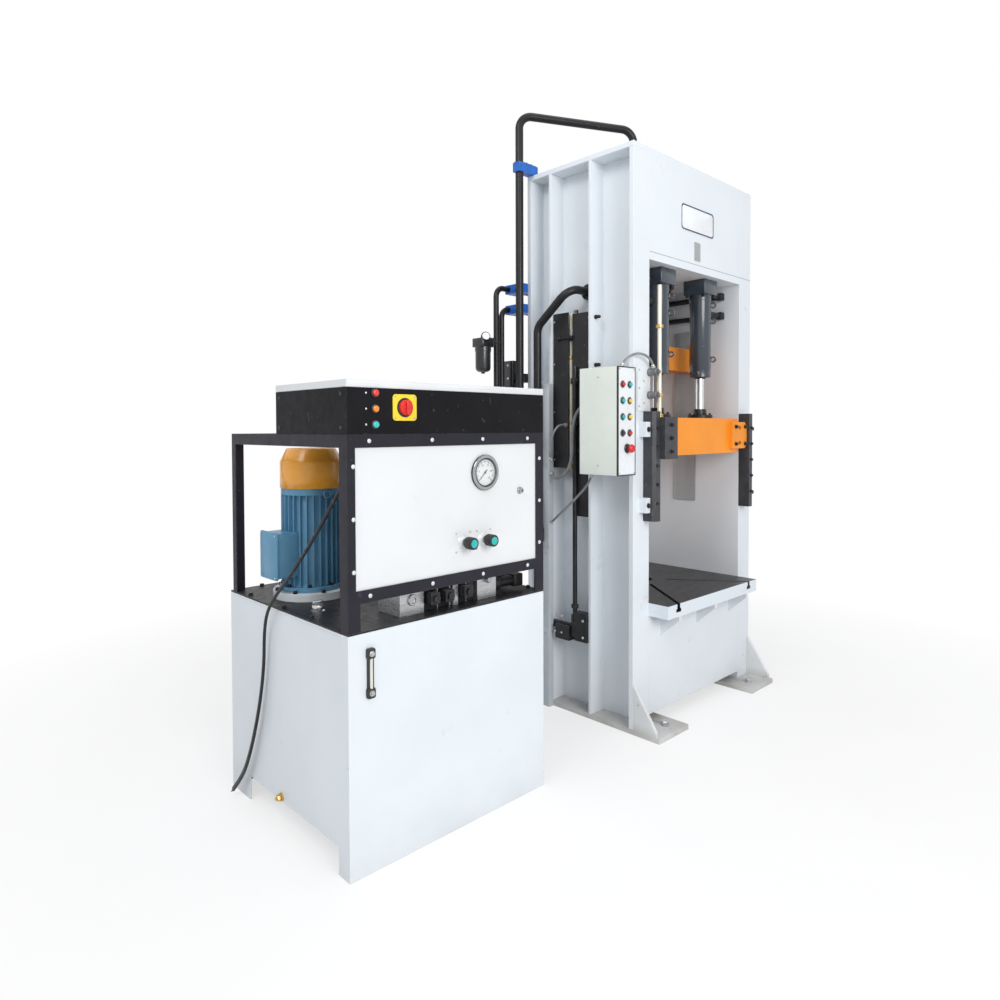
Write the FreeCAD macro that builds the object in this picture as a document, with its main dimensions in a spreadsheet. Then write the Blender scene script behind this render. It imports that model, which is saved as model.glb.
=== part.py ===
"""Deep-drawing hydraulic press with its power pack, as one parametric document.

The frame's centre on the floor is the origin. X runs to the press's right, Y to its
rear, Z up, all in millimetres. The power pack stands to the left of the frame.
"""
import FreeCAD, Part
import math
import os
from types import SimpleNamespace

import Sketcher
from FreeCAD import Placement, Rotation, Vector

# ---------------------------------------------------------------- driving sizes
running_gap = 0.3
small_sides = 12
round_sides = 24
fine_sides = 32
barrel_sides = 16
line_sides = 8
cord_sides = 6
chord_turn = 15

frame_wide = 1150
frame_deep = 690
frame_tall = 2815
flange_wide = 130
plate_thick = 25
web_thick = 30
rib_thick = 16
front_rib_inset = 255
rear_rib_inset = 520
base_thick = 25
foot_reach = 150
foot_wide = 250
foot_gusset_thick = 20
foot_gusset_tall = 215
foot_gusset_reach = 130
foot_gusset_toe = 18
anchor_radius = 14
anchor_inset = 155
anchor_reach = 78
dog_slot_low = 1680
dog_slot_high = 2085
dog_slot_wide = 32

daylight_top = 2280
crown_floor_thick = 35
diaphragm_inset = 160
diaphragm_thick = 20
pipe_hole_gap = 8

bed_low = 60
table_low = 547
table_thick = 65
table_reach = 112
bed_rib_inset = 150
table_gusset_tall = 117
table_gusset_lip = 20
table_gusset_thick = 16
table_gusset_inset = 340
slot_neck = 20
slot_neck_deep = 24
slot_head = 34
slot_deep = 40
slot_mouth = 355
slot_start = 130
table_bore = 55

gib_low = 1018
gib_tall = 527
gib_wide = 50
gib_deep = 65
gib_relief = 14
gib_clamp_wide = 33
gib_clamp_deep = 42
gib_clamp_tall = 72
gib_clamp_low = 42
gib_clamp_high = 405
wear_low = 1030
wear_tall = 1010
wear_thick = 12
wear_wide = 140

cylinder_radius = 124
cylinder_bore = 85
cylinder_under_top = 75
cylinder_lid = 40
cylinder_flange = 170
cylinder_flange_thick = 40
gland_radius = 115
gland_low = 2120
gland_lip = 60
ram_radius = 75
piston_long = 60
piston_gap = 0.6
ram_seat_radius = 110
ram_seat_thick = 25

holder_across = 420
holder_along = 470
holder_flange_side = 135
holder_flange_thick = 79
holder_radius = 58.5
holder_bore = 45
holder_low = 1745
holder_cap = 12
holder_lip = 40
holder_rod = 22.5
holder_piston = 45
holder_rise = 395
holder_foot_radius = 68
holder_foot_thick = 53
shaft_gap = 0.08

slide_wide = 756
slide_deep = 750
slide_low = 1327
slide_tall = 190
slide_bore = 150
shoe_wide = 108
shoe_deep = 62
shoe_low = 1316
shoe_tall = 201
bracket_inset = 279
bracket_thick = 20
bracket_low = 1350
bracket_tall = 147
bracket_corner = 22
bracket_slot_radius = 9
bracket_slot_long = 26
bracket_slot_inset = 90
bracket_slot_step = 84
dog_rod_radius = 10
slide_dog_x = 417
slide_dog_y = 385
slide_dog_top = 2155
dog_collar_radius = 18
dog_collar_thick = 16
upper_collar = 1947
lower_collar = 1616

crosshead_deep = 130
crosshead_low = 1797
crosshead_tall = 133
crosshead_pad_wide = 100
punch_radius = 100
punch_boss = 30
arm_low = 1945
arm_thick = 24
arm_front = 79
arm_foot_long = 48
arm_foot_front = 20
punch_dog_x = 533
punch_dog_y = 74
punch_dog_low = 1277
punch_dog_top = 2055
punch_collar = 1823
dog_eye_tall = 22

guard_out = 16
guard_thick = 4
front_guard_low = 1016
front_guard_top = 2050
front_guard_rear = 388
rear_guard_front = 415
rear_guard_low = 1260
rear_guard_top = 2062
guard_foot_low = 383
guard_foot_top = 530
switch_rod_radius = 11.5
switch_rod_out = 4.2
switch_rod_inset = 362
switch_rod_top = 1780
duct_deep = 34
duct_front = 505
duct_wide = 55
duct_top = 1697
switch_plate_low = -1
switch_plate_tall = 220
switch_plate_thick = 6
switch_plate_wide = 105
switch_body_wide = 30
switch_body_deep = 49
switch_body_tall = 34
upper_switch = 189
lower_switch = 79

station_wide = 135
station_front = 12
station_deep = 227
station_low = 1245
station_tall = 505
station_wall = 4
cover_thick = 4
button_radius = 9
button_long = 30
button_travel = 3
button_proud = 13
button_near = 46
button_far = 100
button_row_high = 1668
button_row_step = 75
button_rows = 4
stop_radius = 20
stop_thick = 14
stop_across = 66
stop_up = 1371
stop_proud = 24

pack_left = 2145
pack_right = 1227
pack_front = 369
pack_rear = 523
tank_top = 802
tank_wall = 6
tank_floor = 95
tank_leg_front = 69
tank_leg_rear = 162
tank_lid_thick = 6
pump_hole = 95
pack_frame_top = 1448
post_wide = 48
rear_post_wide = 34
post_thick = 6
top_rail_tall = 43
lower_rail_low = 900
panel_low = 942
panel_left_inset = 32
panel_right_inset = 43
panel_thick = 3
panel_lap = 14
pack_frame_rear = 499
box_top = 1600
box_deep = 480
box_wall = 3
box_lid_thick = 25
gauge_x = 1548
gauge_up = 1301
gauge_radius = 66
gauge_dial = 50
gauge_rim = 12
gauge_recess = 8
gauge_case_deep = 34
gauge_clear = 2
needle_thick = 1.6
needle_long = 40
needle_hub = 5
knob_up = 1050
left_knob_x = 1653
right_knob_x = 1553
knob_radius = 22.5
knob_long = 38
knob_proud = 62
knob_shaft = 8
knob_shaft_in = 25
lamp_x = 2038
lamp_radius = 15
lamp_proud = 12
lamp_high = 1583
lamp_step = 51.5
isolator_left = 1968
isolator_wide = 98
isolator_low = 1493
isolator_tall = 89
isolator_thick = 4
isolator_hub = 26
handle_boss = 7
handle_boss_proud = 18
handle_thick = 12
handle_grip_long = 52
handle_grip_wide = 14
handle_grip_proud = 24
level_x = 2065
level_wide = 30
level_low = 587
level_tall = 164
level_thick = 14
level_end = 34
level_neck = 18
drain_y = 95
drain_radius = 11
drain_long = 26
breather_x = 2062
breather_y = 33
breather_radius = 22
breather_tall = 34
manifold_front = 315
manifold_deep = 132
manifold_tall = 112
manifold_left = 1904
manifold_mid = 1664
manifold_plate = 25
manifold_block = 1543
manifold_right = 1443
valve_deep = 100
valve_tall = 84

motor_x = 1937
motor_y = 232
motor_low = 838
motor_high = 1245
motor_core = 100
motor_fin_radius = 117
motor_fin_thick = 5
motor_fins = 28
motor_bore = 62
motor_end = 22
shaft_radius = 14
rotor_gap = 0.6
rotor_low = 900
rotor_high = 1180
cowl_thick = 3
cowl_low = 1235
cowl_shoulder = 1340
cowl_top = 1390
cowl_top_radius = 92
cowl_slots = 12
cowl_slot_wide = 9
cowl_slot_start = 30
cowl_slot_end = 80
fan_radius = 98
fan_low = 1272
fan_thick = 5
fan_hub = 24
fan_blade_tall = 44
fan_blades = 6
terminal_wide = 75
terminal_front = 170
terminal_deep = 125
terminal_sunk = 12
terminal_low = 900
terminal_tall = 168
bell_ring = 150
bell_radius = 80
bell_low = 640
bell_wall = 10
pump_radius = 55
pump_low = 480
coupling_radius = 34
coupling_low = 662
coupling_top = 712

main_pipe_radius = 21
main_pipe_bend = 70
main_pipe_x = 656
main_pipe_y = 326
main_pipe_rise = 300
main_pipe_in_x = 55
main_pipe_in_y = 27
main_pipe_low = 848
main_pipe_turn = 1300
elbow_side = 50
return_x = 635
return_rear = 217
return_up = 2165
return_bend_low = 1992
return_low = 895
return_turn = 1360
return_flange = 40
return_flange_thick = 18
line_radius = 15
line_bend = 50
line_elbow = 40
line_rear = 445
line_wall = 425
high_line_x = 715
high_line_up = 2222
low_line_x = 675
low_line_up = 2112
high_line_low = 890
low_line_low = 845
high_line_turn = 1690
low_line_turn = 1630
clamp_thick = 30
clamp_tall = 48
clamp_side = 30
clamp_block_out = 48
filter_x = 805
filter_up = 1755
filter_tall = 140
filter_radius = 34
filter_head_tall = 60
filter_head_side = 74
filter_gauge = 24
filter_gauge_thick = 18
filter_arm = 22
valve_box_left = 630
valve_box_wide = 45
valve_box_low = 1640
valve_box_tall = 194
valve_box_deep = 70
valve_box_reach = 60

conduit_radius = 8
thin_conduit_radius = 6
lead_radius = 6

guard_bracket_front = 14
guard_bracket_sunk = 26
guard_bracket_long = 80
rod_bracket_out = 22
rod_bracket_near = 18
rod_bracket_far = 112
rod_bracket_drop = 8
rod_bracket_lower = 80
rod_bar_in = 0.5
rod_bar_low = 40
rod_bar_tall = 32
rod_boss_more = 2
rod_boss_inset = 20
rod_guide_out = 12
rod_guide_half = 16
rod_guide_drop = 90
rod_guide_tall = 30
dog_block_more = 6
dog_block_lip = 3
switch_edge_inset = 5
switch_sheet_rise = 2
level_glass_sunk = 3
drain_clear = 6
manifold_inlet_wide = 105
main_port_share = 0.3
return_port_share = 0.72
line_clamp_more = 8
filter_gauge_drop = 8
filter_arm_rise = 10

SIZES = {name: size for name, size in dict(globals()).items()
         if isinstance(size, (int, float)) and name[0] != "_"}

doc = FreeCAD.newDocument("hydraulic_press")
sheet = doc.addObject("Spreadsheet::Sheet", "Sizes")


class Length:
    """A size with the sheet formula that it comes from, so that sums stay bound."""

    def __init__(self, value, formula):
        self.value = value
        self.formula = formula

    def __float__(self):
        return self.value

    def __add__(self, other):
        other = length(other)
        return Length(self.value + other.value, f"({self.formula} + {other.formula})")

    def __sub__(self, other):
        other = length(other)
        return Length(self.value - other.value, f"({self.formula} - {other.formula})")

    def __mul__(self, other):
        other = length(other)
        return Length(self.value * other.value, f"({self.formula} * {other.formula})")

    def __truediv__(self, other):
        other = length(other)
        return Length(self.value / other.value, f"({self.formula} / {other.formula})")

    def __neg__(self):
        return self * -1

    def __radd__(self, other):
        return length(other) + self

    def __rsub__(self, other):
        return length(other) - self

    __rmul__ = __mul__


def length(size):
    """A Length as it is, or a plain number made one."""
    if isinstance(size, Length):
        return size
    return Length(float(size), f"({float(size)})")


def fill_sheet():
    """Write every driving size into its own cell, and hand the cells back by name."""
    cells = SimpleNamespace()
    for row, (name, size) in enumerate(SIZES.items(), 1):
        sheet.set(f"A{row}", name)
        sheet.set(f"B{row}", str(size))
        sheet.setAlias(f"B{row}", name)
        setattr(cells, name, Length(float(size), f"Sizes.{name}"))
    doc.recompute()
    return cells


s = fill_sheet()
nodes = []


# ---------------------------------------------------------------- ways of making
def bind(item, field, size):
    """Tie one field of an object to the sheet."""
    item.setExpression(field, length(size).formula)


def place(item, x=0, y=0, z=0, turn=None):
    """Give an object its place, and its turn if it has one."""
    if turn:
        item.Placement = Placement(Vector(0, 0, 0), turn)
    for axis, size in (("x", x), ("y", y), ("z", z)):
        bind(item, f".Placement.Base.{axis}", size)
    return item


def box(name, across, along, up):
    """A block between two values on each axis."""
    block = doc.addObject("Part::Box", name)
    for field, (low, high) in (("Length", across), ("Width", along), ("Height", up)):
        bind(block, field, length(high) - low)
    return place(block, across[0], along[0], up[0])


TURNS = {
    "x": Rotation(Vector(0, 1, 0), 90),
    "y": Rotation(Vector(1, 0, 0), -90),
    "z": None,
}


def drum(name, axis, radius, ends, x=0, y=0, z=0):
    """A cylinder along an axis from one value to another, with its other two places."""
    cylinder = doc.addObject("Part::Cylinder", name)
    bind(cylinder, "Radius", radius)
    bind(cylinder, "Height", length(ends[1]) - ends[0])
    spot = {"x": x, "y": y, "z": z}
    spot[axis] = ends[0]
    return place(cylinder, turn=TURNS[axis], **spot)


def sides_of(count):
    """How many sides a light round piece gets."""
    return int(float(count))


def bar(name, axis, radius, ends, x=0, y=0, z=0, sides=s.small_sides):
    """A round piece kept light: a prism with its corners on the radius."""
    prism = doc.addObject("Part::Prism", name)
    prism.Polygon = sides_of(sides)
    bind(prism, "Polygon", sides)
    bind(prism, "Circumradius", radius)
    bind(prism, "Height", length(ends[1]) - ends[0])
    spot = {"x": x, "y": y, "z": z}
    spot[axis] = ends[0]
    return place(prism, turn=TURNS[axis], **spot)


def bore_for(radius, sides=s.small_sides):
    """Corner radius of a light bore whose flats still clear a turning shaft."""
    return (radius + s.shaft_gap) / math.cos(math.pi / sides_of(sides))


def stepped(name, steps, bores, axis="z", x=0, y=0, z=0, sides=s.small_sides):
    """A stepped round piece from (radius, low, high) bars, less bores given alike."""
    pieces = [bar(f"{name}_step_{number}", axis, radius, (low, high), x, y, z, sides)
              for number, (radius, low, high) in enumerate(steps)]
    whole = joined(f"{name}_body", pieces) if len(pieces) > 1 else pieces[0]
    if not bores:
        return whole
    return cut(f"{name}_bored", whole, [
        bar(f"{name}_bore_{number}", axis, radius, (low, high), x, y, z, sides)
        for number, (radius, low, high) in enumerate(bores)])


def tapered(name, low_radius, high_radius, ends, sides):
    """A light cone of flat faces between two radii, standing on the axis."""
    rings = []
    for radius, up in ((low_radius, ends[0]), (high_radius, ends[1])):
        turns = [2 * math.pi * side / sides_of(sides) for side in range(sides_of(sides))]
        rings.append([Vector(float(radius) * math.cos(turn), float(radius) * math.sin(turn),
                             float(up)) for turn in turns])
    low, high = rings
    loops = [[low[side - 1], low[side], high[side], high[side - 1]] for side in range(len(low))]
    faces = [Part.Face(Part.makePolygon(loop + loop[:1])) for loop in loops + rings]
    item = doc.addObject("Part::Feature", name)
    item.Shape = Part.makeSolid(Part.makeShell(faces))
    return item


def outline(body, plane, corners):
    """A closed sketch through the corners, each held by the sheet."""
    sketch = body.newObject("Sketcher::SketchObject", f"{body.Name}_outline")
    for feature in body.Origin.OriginFeatures:
        if feature.Role == plane:
            sketch.AttachmentSupport = (feature, [""])
    sketch.MapMode = "FlatFace"
    points = [(length(a), length(b)) for a, b in corners]
    count = len(points)
    for number, (a, b) in enumerate(points):
        c, d = points[(number + 1) % count]
        start = Vector(a.value, b.value, 0)
        end = Vector(c.value, d.value, 0)
        sketch.addGeometry(Part.LineSegment(start, end), False)
    for number in range(count):
        follows = (number + 1) % count
        sketch.addConstraint(Sketcher.Constraint("Coincident", number, 2, follows, 1))
    for number, corner in enumerate(points):
        for kind, size, axis in (("DistanceX", corner[0], -2), ("DistanceY", corner[1], -1)):
            if size.value == 0:
                sketch.addConstraint(Sketcher.Constraint("PointOnObject", number, 1, axis))
                continue
            rule = Sketcher.Constraint(kind, -1, 1, number, 1, size.value)
            held = sketch.addConstraint(rule)
            sketch.setExpression(f"Constraints[{held}]", size.formula)
    return sketch


def plate(name, plane, corners, ends):
    """A padded outline. XY corners are (x, y), XZ (x, z) and YZ (y, z)."""
    body = doc.addObject("PartDesign::Body", name)
    sketch = outline(body, plane, corners)
    pad = body.newObject("PartDesign::Pad", f"{name}_pad")
    pad.Profile = sketch
    bind(pad, "Length", length(ends[1]) - ends[0])
    if plane == "XY_Plane":
        return place(body, z=ends[0])
    if plane == "XZ_Plane":
        return place(body, y=ends[1])
    return place(body, x=ends[0])


def cut(name, base, tools):
    """One piece less others."""
    if len(tools) > 1:
        tools = [joined(f"{name}_tools", tools)]
    result = doc.addObject("Part::Cut", name)
    result.Base = base
    result.Tool = tools[0]
    return result


def joined(name, pieces):
    """Pieces welded or made as one."""
    result = doc.addObject("Part::MultiFuse", name)
    result.Shapes = pieces
    result.Refine = True
    return result


def grouped(name, pieces):
    """Like pieces that stay apart and share one node."""
    result = doc.addObject("Part::Compound", name)
    result.Links = pieces
    return result


def keep(item, node):
    """Name a finished sub-part, which names its file too."""
    item.Label = node
    nodes.append(item)
    return item


def bent_path(points, radius_at):
    """Straight runs through the points, joined by tangent arcs, each in a few chords."""
    edges = []
    start = points[0]
    for number in range(1, len(points) - 1):
        before = points[number] - points[number - 1]
        after = points[number + 1] - points[number]
        half = before.getAngle(after) / 2
        radius = radius_at(min(before.Length, after.Length), half)
        back = radius * math.tan(half)
        here = points[number]
        arc_start = here - Vector(before).normalize() * back
        arc_end = here + Vector(after).normalize() * back
        inward = (Vector(after).normalize() - Vector(before).normalize()).normalize()
        middle = here + inward * (radius / math.cos(half) - radius)
        edges.append(Part.LineSegment(start, arc_start).toShape())
        chords = max(1, round(math.degrees(2 * half) / float(s.chord_turn)))
        marks = Part.Arc(arc_start, middle, arc_end).toShape().discretize(chords + 1)
        edges += [Part.LineSegment(a, b).toShape() for a, b in zip(marks, marks[1:])]
        start = arc_end
    edges.append(Part.LineSegment(start, points[-1]).toShape())
    return Part.Wire(edges)


def section(points, radius, sides):
    """The flat-sided ring that a tube's path starts from."""
    along = (points[1] - points[0]).normalize()
    across = along.cross(Vector(0, 0, 1))
    if across.Length < 0.1:
        across = along.cross(Vector(1, 0, 0))
    across.normalize()
    over = along.cross(across)
    ring = []
    for side in range(sides + 1):
        angle = 2 * math.pi * side / sides
        offset = across * math.cos(angle) + over * math.sin(angle)
        ring.append(points[0] + offset * radius)
    return Part.makePolygon(ring)


def pipe(name, points, radius, sides, bend=None):
    """A solid pipe along the points. Without a bend each arc is as large as fits."""
    points = [Vector(*[float(value) for value in point]) for point in points]
    radii = []

    def fitted(shorter, half):
        radii.append(float(bend) if bend else 0.45 * shorter / math.tan(half))
        return radii[-1]

    path = bent_path(points, fitted)
    ring = section(points, float(radius), sides_of(sides))
    solid = path.makePipeShell([ring], True, False, 1)
    item = doc.addObject("Part::Feature", name)
    item.Shape = solid
    area = Part.Face(ring).Area
    share = solid.Volume / (area * path.Length)
    least = min(radii, default=0)
    print(f"{name}: {path.Length:.0f} mm, least bend {least:.0f} mm, volume {share:.4f}")
    if not bend:
        print("   bends", " ".join(f"{value:.0f}" for value in radii))
    return item


SIDES = {"left": -1, "right": 1}
ENDS = {"front": -1, "rear": 1}


def span(first, second):
    """Two values in rising order, whichever side of the machine they are on."""
    first = length(first)
    second = length(second)
    return (first, second) if first.value < second.value else (second, first)


# ---------------------------------------------------------------- press frame
half_wide = s.frame_wide / 2
half_deep = s.frame_deep / 2
wall_in = half_wide - s.flange_wide
wall_out = wall_in + s.web_thick
under_top = s.frame_tall - s.plate_thick
front_rib = s.front_rib_inset - half_deep
rear_rib = s.rear_rib_inset - half_deep
table_front = half_deep + s.table_reach
table_top = s.table_low + s.table_thick


def base(side, word):
    """Foot plate of one column, with a gusset and an anchor hole at each end."""
    foot_end = half_deep + s.foot_reach
    foot_in = half_wide - s.foot_wide
    pieces = [box(f"{word}_foot", span(side * half_wide, side * foot_in),
                  (-foot_end, foot_end), (0, s.base_thick))]
    holes = []
    for end, place_word in ((-1, "front"), (1, "rear")):
        toe = half_deep + s.foot_gusset_reach
        top = s.base_thick + s.foot_gusset_tall
        corners = [(end * half_deep, s.base_thick), (end * toe, s.base_thick),
                   (end * toe, s.base_thick + s.foot_gusset_toe), (end * half_deep, top)]
        pieces.append(plate(f"{word}_{place_word}_gusset", "YZ_Plane", corners,
                            span(side * half_wide, side * (half_wide - s.foot_gusset_thick))))
        holes.append(drum(f"{word}_{place_word}_anchor", "z", s.anchor_radius,
                          (-1, s.base_thick + 1), x=side * (half_wide - s.anchor_inset),
                          y=end * (half_deep + s.anchor_reach)))
    return cut(f"{word}_base_cut", joined(f"{word}_base_weld", pieces), holes)


def column(side, word, holes):
    """Side column: web, two flanges and two ribs, open to the outside."""
    front = -half_deep
    rear = half_deep
    steps = [(wall_in, front), (half_wide, front), (half_wide, front + s.plate_thick),
             (wall_out, front + s.plate_thick), (wall_out, front_rib), (half_wide, front_rib),
             (half_wide, front_rib + s.rib_thick), (wall_out, front_rib + s.rib_thick),
             (wall_out, rear_rib), (half_wide, rear_rib), (half_wide, rear_rib + s.rib_thick),
             (wall_out, rear_rib + s.rib_thick), (wall_out, rear - s.plate_thick),
             (half_wide, rear - s.plate_thick), (half_wide, rear), (wall_in, rear)]
    corners = [(side * across, along) for across, along in steps]
    whole = plate(f"{word}_column_profile", "XY_Plane", corners, (s.base_thick, under_top))
    if holes:
        whole = cut(f"{word}_column_cut", whole, holes)
    clamp_in = wall_in + s.gib_wide
    blocks = [box(f"{word}_{end_word}_{height}_clamp",
                  span(side * clamp_in, side * (clamp_in + s.gib_clamp_wide)),
                  span(end * half_deep, end * (half_deep + s.gib_clamp_deep)),
                  (s.gib_low + low, s.gib_low + low + s.gib_clamp_tall))
              for end_word, end in ENDS.items()
              for height, low in (("low", s.gib_clamp_low), ("high", s.gib_clamp_high))]
    keep(joined(f"{word}_column_weld", [whole] + blocks), f"{word}_column")


arm_rear = s.arm_front + s.arm_thick
slot_front = s.arm_front + s.arm_thick / 2 - s.dog_slot_wide / 2
dog_slot = box("dog_slot", (-wall_out - 1, 1 - wall_in),
               (slot_front, slot_front + s.dog_slot_wide), (s.dog_slot_low, s.dog_slot_high))
return_hole = bar("return_hole", "x", bore_for(s.main_pipe_radius),
                  (-wall_out - 1, 1 - wall_in), z=s.return_up)
keep(grouped("base_set", [base(side, word) for word, side in SIDES.items()]), "base_feet")
column(-1, "left", [dog_slot, return_hole])
column(1, "right", [])

# crown: a box girder in three cells, with the main cylinder through its middle
crown_shell = box("crown_shell", (-wall_in, wall_in), (-half_deep, half_deep),
                  (s.daylight_top, under_top))
cell_edges = [(-wall_in - 1, -s.diaphragm_inset - s.diaphragm_thick),
              (-s.diaphragm_inset, s.diaphragm_inset),
              (s.diaphragm_inset + s.diaphragm_thick, wall_in + 1)]
crown_cuts = [box(f"crown_cell_{number}", edges,
                  (s.plate_thick - half_deep, half_deep - s.plate_thick),
                  (s.daylight_top + s.crown_floor_thick, under_top + 1))
              for number, edges in enumerate(cell_edges)]
crown_cuts.append(bar("crown_bore", "z", bore_for(s.cylinder_radius, s.fine_sides),
                      (s.daylight_top - 1, s.daylight_top + s.crown_floor_thick + 1),
                      sides=s.fine_sides))
crown_box = cut("crown_cut", crown_shell, crown_cuts)

top_plate = box("top_sheet", (-half_wide, half_wide), (-half_deep, half_deep),
                (under_top, s.frame_tall))
top_hole = bar("top_pipe_hole", "z", s.main_pipe_radius + s.pipe_hole_gap,
                (under_top - 1, s.frame_tall + 1), x=-s.main_pipe_in_x, y=s.main_pipe_in_y)
keep(joined("crown_weld", [crown_box, cut("top_plate_cut", top_plate, [top_hole])]), "crown")

# bed: apron box under the table, with inner ribs and gussets below the overhang
bed_shell = box("bed_shell", (-wall_in, wall_in), (-half_deep, half_deep),
                (s.bed_low, s.table_low))
bed_cells = []
bed_rib_out = s.bed_rib_inset + s.plate_thick
for number, edges in enumerate([(-wall_in - 1, -bed_rib_out),
                                (-s.bed_rib_inset, s.bed_rib_inset), (bed_rib_out, wall_in + 1)]):
    bed_cells.append(box(f"bed_cell_{number}", edges,
                         (s.plate_thick - half_deep, half_deep - s.plate_thick),
                         (s.bed_low - 1, s.table_low - s.plate_thick)))
bed_pieces = [cut("bed_box", bed_shell, bed_cells)]
for end_word, end in ENDS.items():
    for number in (-1, 0, 1):
        low = s.table_low - s.table_gusset_tall
        corners = [(end * half_deep, low), (end * table_front, s.table_low - s.table_gusset_lip),
                   (end * table_front, s.table_low), (end * half_deep, s.table_low)]
        middle = number * s.table_gusset_inset
        half = s.table_gusset_thick / 2
        bed_pieces.append(plate(f"bed_gusset_{end_word}_{number + 1}", "YZ_Plane", corners,
                                (middle - half, middle + half)))
keep(joined("bed_weld", bed_pieces), "bed")


def t_slot(number, turn_x, turn_y):
    """Diagonal T-slot from near the middle out through the table's edge."""
    reach = math.hypot(float(s.slot_mouth), float(table_front))
    unit_x = turn_x * float(s.slot_mouth) / reach
    unit_y = turn_y * float(table_front) / reach
    far = (table_front + s.slot_head * 2) / abs(unit_y)
    cuts = []
    for word, wide, low, high in (
            ("neck", s.slot_neck, table_top - s.slot_neck_deep, table_top + 1),
            ("head", s.slot_head, table_top - s.slot_deep, table_top - s.slot_neck_deep)):
        corners = [(unit_x * run - unit_y * side * wide / 2, unit_y * run + unit_x * side * wide / 2)
                   for run, side in ((s.slot_start, -1), (far, -1), (far, 1), (s.slot_start, 1))]
        cuts.append(plate(f"slot_{word}_{number}", "XY_Plane", corners, (low, high)))
    return cuts


table_slab = box("table_slab", (-wall_in, wall_in), (-table_front, table_front),
                 (s.table_low, table_top))
table_cuts = [bar("table_bore", "z", s.table_bore, (s.table_low - 1, table_top + 1),
                  sides=s.round_sides)]
for number, (turn_x, turn_y) in enumerate(((-1, -1), (1, -1), (1, 1), (-1, 1))):
    table_cuts += t_slot(number, turn_x, turn_y)
keep(cut("table_cut", table_slab, table_cuts), "press_table")

# ---------------------------------------------------------------- guides
gibs = []
gib_top = s.gib_low + s.gib_tall
for side_word, side in SIDES.items():
    for end_word, end in ENDS.items():
        name = f"{side_word}_{end_word}"
        near = end * half_deep
        far = end * (half_deep + s.gib_deep)
        step = end * (half_deep + s.gib_deep - s.gib_relief)
        outer = side * (wall_in + s.gib_wide)
        corners = [(side * wall_in, near), (outer, near), (outer, step),
                   (side * (wall_in + s.gib_wide - s.gib_relief), far), (side * wall_in, far)]
        gibs.append(plate(f"gib_{name}", "XY_Plane", corners, (s.gib_low, gib_top)))
keep(grouped("gib_set", gibs), "guide_gibs")

wear = [box(f"wear_{word}", span(side * wall_in, side * (wall_in - s.wear_thick)),
            (-s.wear_wide / 2, s.wear_wide / 2), (s.wear_low, s.wear_low + s.wear_tall))
        for word, side in SIDES.items()]
keep(grouped("wear_set", wear), "wear_plates")

# ---------------------------------------------------------------- cylinders
flange_low = s.daylight_top - s.cylinder_flange_thick
gland_top = s.gland_low + s.gland_lip
gland_bore = s.ram_radius + s.shaft_gap
cylinder_top = s.frame_tall - s.cylinder_under_top
lid_low = cylinder_top - s.cylinder_lid
keep(stepped("main_cylinder", [
    (s.gland_radius, s.gland_low, flange_low), (s.cylinder_flange, flange_low, s.daylight_top),
    (s.cylinder_radius, s.daylight_top, cylinder_top)],
    [(gland_bore, s.gland_low - 1, gland_top + 1), (s.cylinder_bore, gland_top, lid_low)],
    sides=s.fine_sides), "main_cylinder")

holder_x = s.holder_across / 2
holder_y = s.holder_along / 2
holder_spots = [(side * holder_x, end * holder_y) for side in (-1, 1) for end in (-1, 1)]
holder_flange_low = s.daylight_top - s.holder_flange_thick
barrels = []
for number, (x, y) in enumerate(holder_spots):
    half = s.holder_flange_side / 2
    head = box(f"holder_head_{number}", (x - half, x + half), (y - half, y + half),
               (holder_flange_low, s.daylight_top))
    lip_top = s.holder_low + s.holder_lip
    barrel = stepped(
        f"holder_barrel_{number}", [(s.holder_radius, s.holder_low, holder_flange_low)],
        [(s.holder_rod + s.shaft_gap, s.holder_low - 1, lip_top + 1),
         (s.holder_bore, lip_top, holder_flange_low - s.holder_cap)], x=x, y=y,
        sides=s.barrel_sides)
    barrels.append(joined(f"holder_cylinder_{number}", [head, barrel]))
keep(grouped("holder_cylinder_set", barrels), "holder_cylinders")

# ---------------------------------------------------------------- slide
slide_top = s.slide_low + s.slide_tall
slide_front = s.slide_deep / 2
slide_side = s.slide_wide / 2
guide_in = wall_in - s.running_gap
slide_pieces = [cut("slide_ring",
                    box("slide_block", (-slide_side, slide_side), (-slide_front, slide_front),
                        (s.slide_low, slide_top)),
                    [bar("slide_hole", "z", s.slide_bore, (s.slide_low - 1, slide_top + 1),
                        sides=s.fine_sides)])]
for end_word, end in ENDS.items():
    low = s.bracket_low
    top = s.bracket_low + s.bracket_tall
    corner = s.bracket_corner
    corners = [(s.bracket_inset, low), (guide_in - corner, low), (guide_in, low + corner),
               (guide_in, top - corner), (guide_in - corner, top), (s.bracket_inset, top)]
    sheet_piece = plate(f"bracket_{end_word}", "XZ_Plane", corners,
                        span(end * slide_front, end * (slide_front + s.bracket_thick)))
    slots = []
    for step in (-1, 1):
        middle = s.bracket_low + s.bracket_tall / 2 + step * s.bracket_slot_step / 2
        slots.append(box(f"bracket_slot_{end_word}_{step + 1}",
                         (guide_in - s.bracket_slot_inset,
                          guide_in - s.bracket_slot_inset + s.bracket_slot_long),
                         span(end * (slide_front + s.bracket_thick / 2),
                              end * (slide_front + s.bracket_thick + 1)),
                         (middle - s.bracket_slot_radius, middle + s.bracket_slot_radius)))
    slide_pieces.append(cut(f"bracket_cut_{end_word}", sheet_piece, slots))
keep(joined("slide_weld", slide_pieces), "slide")

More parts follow.
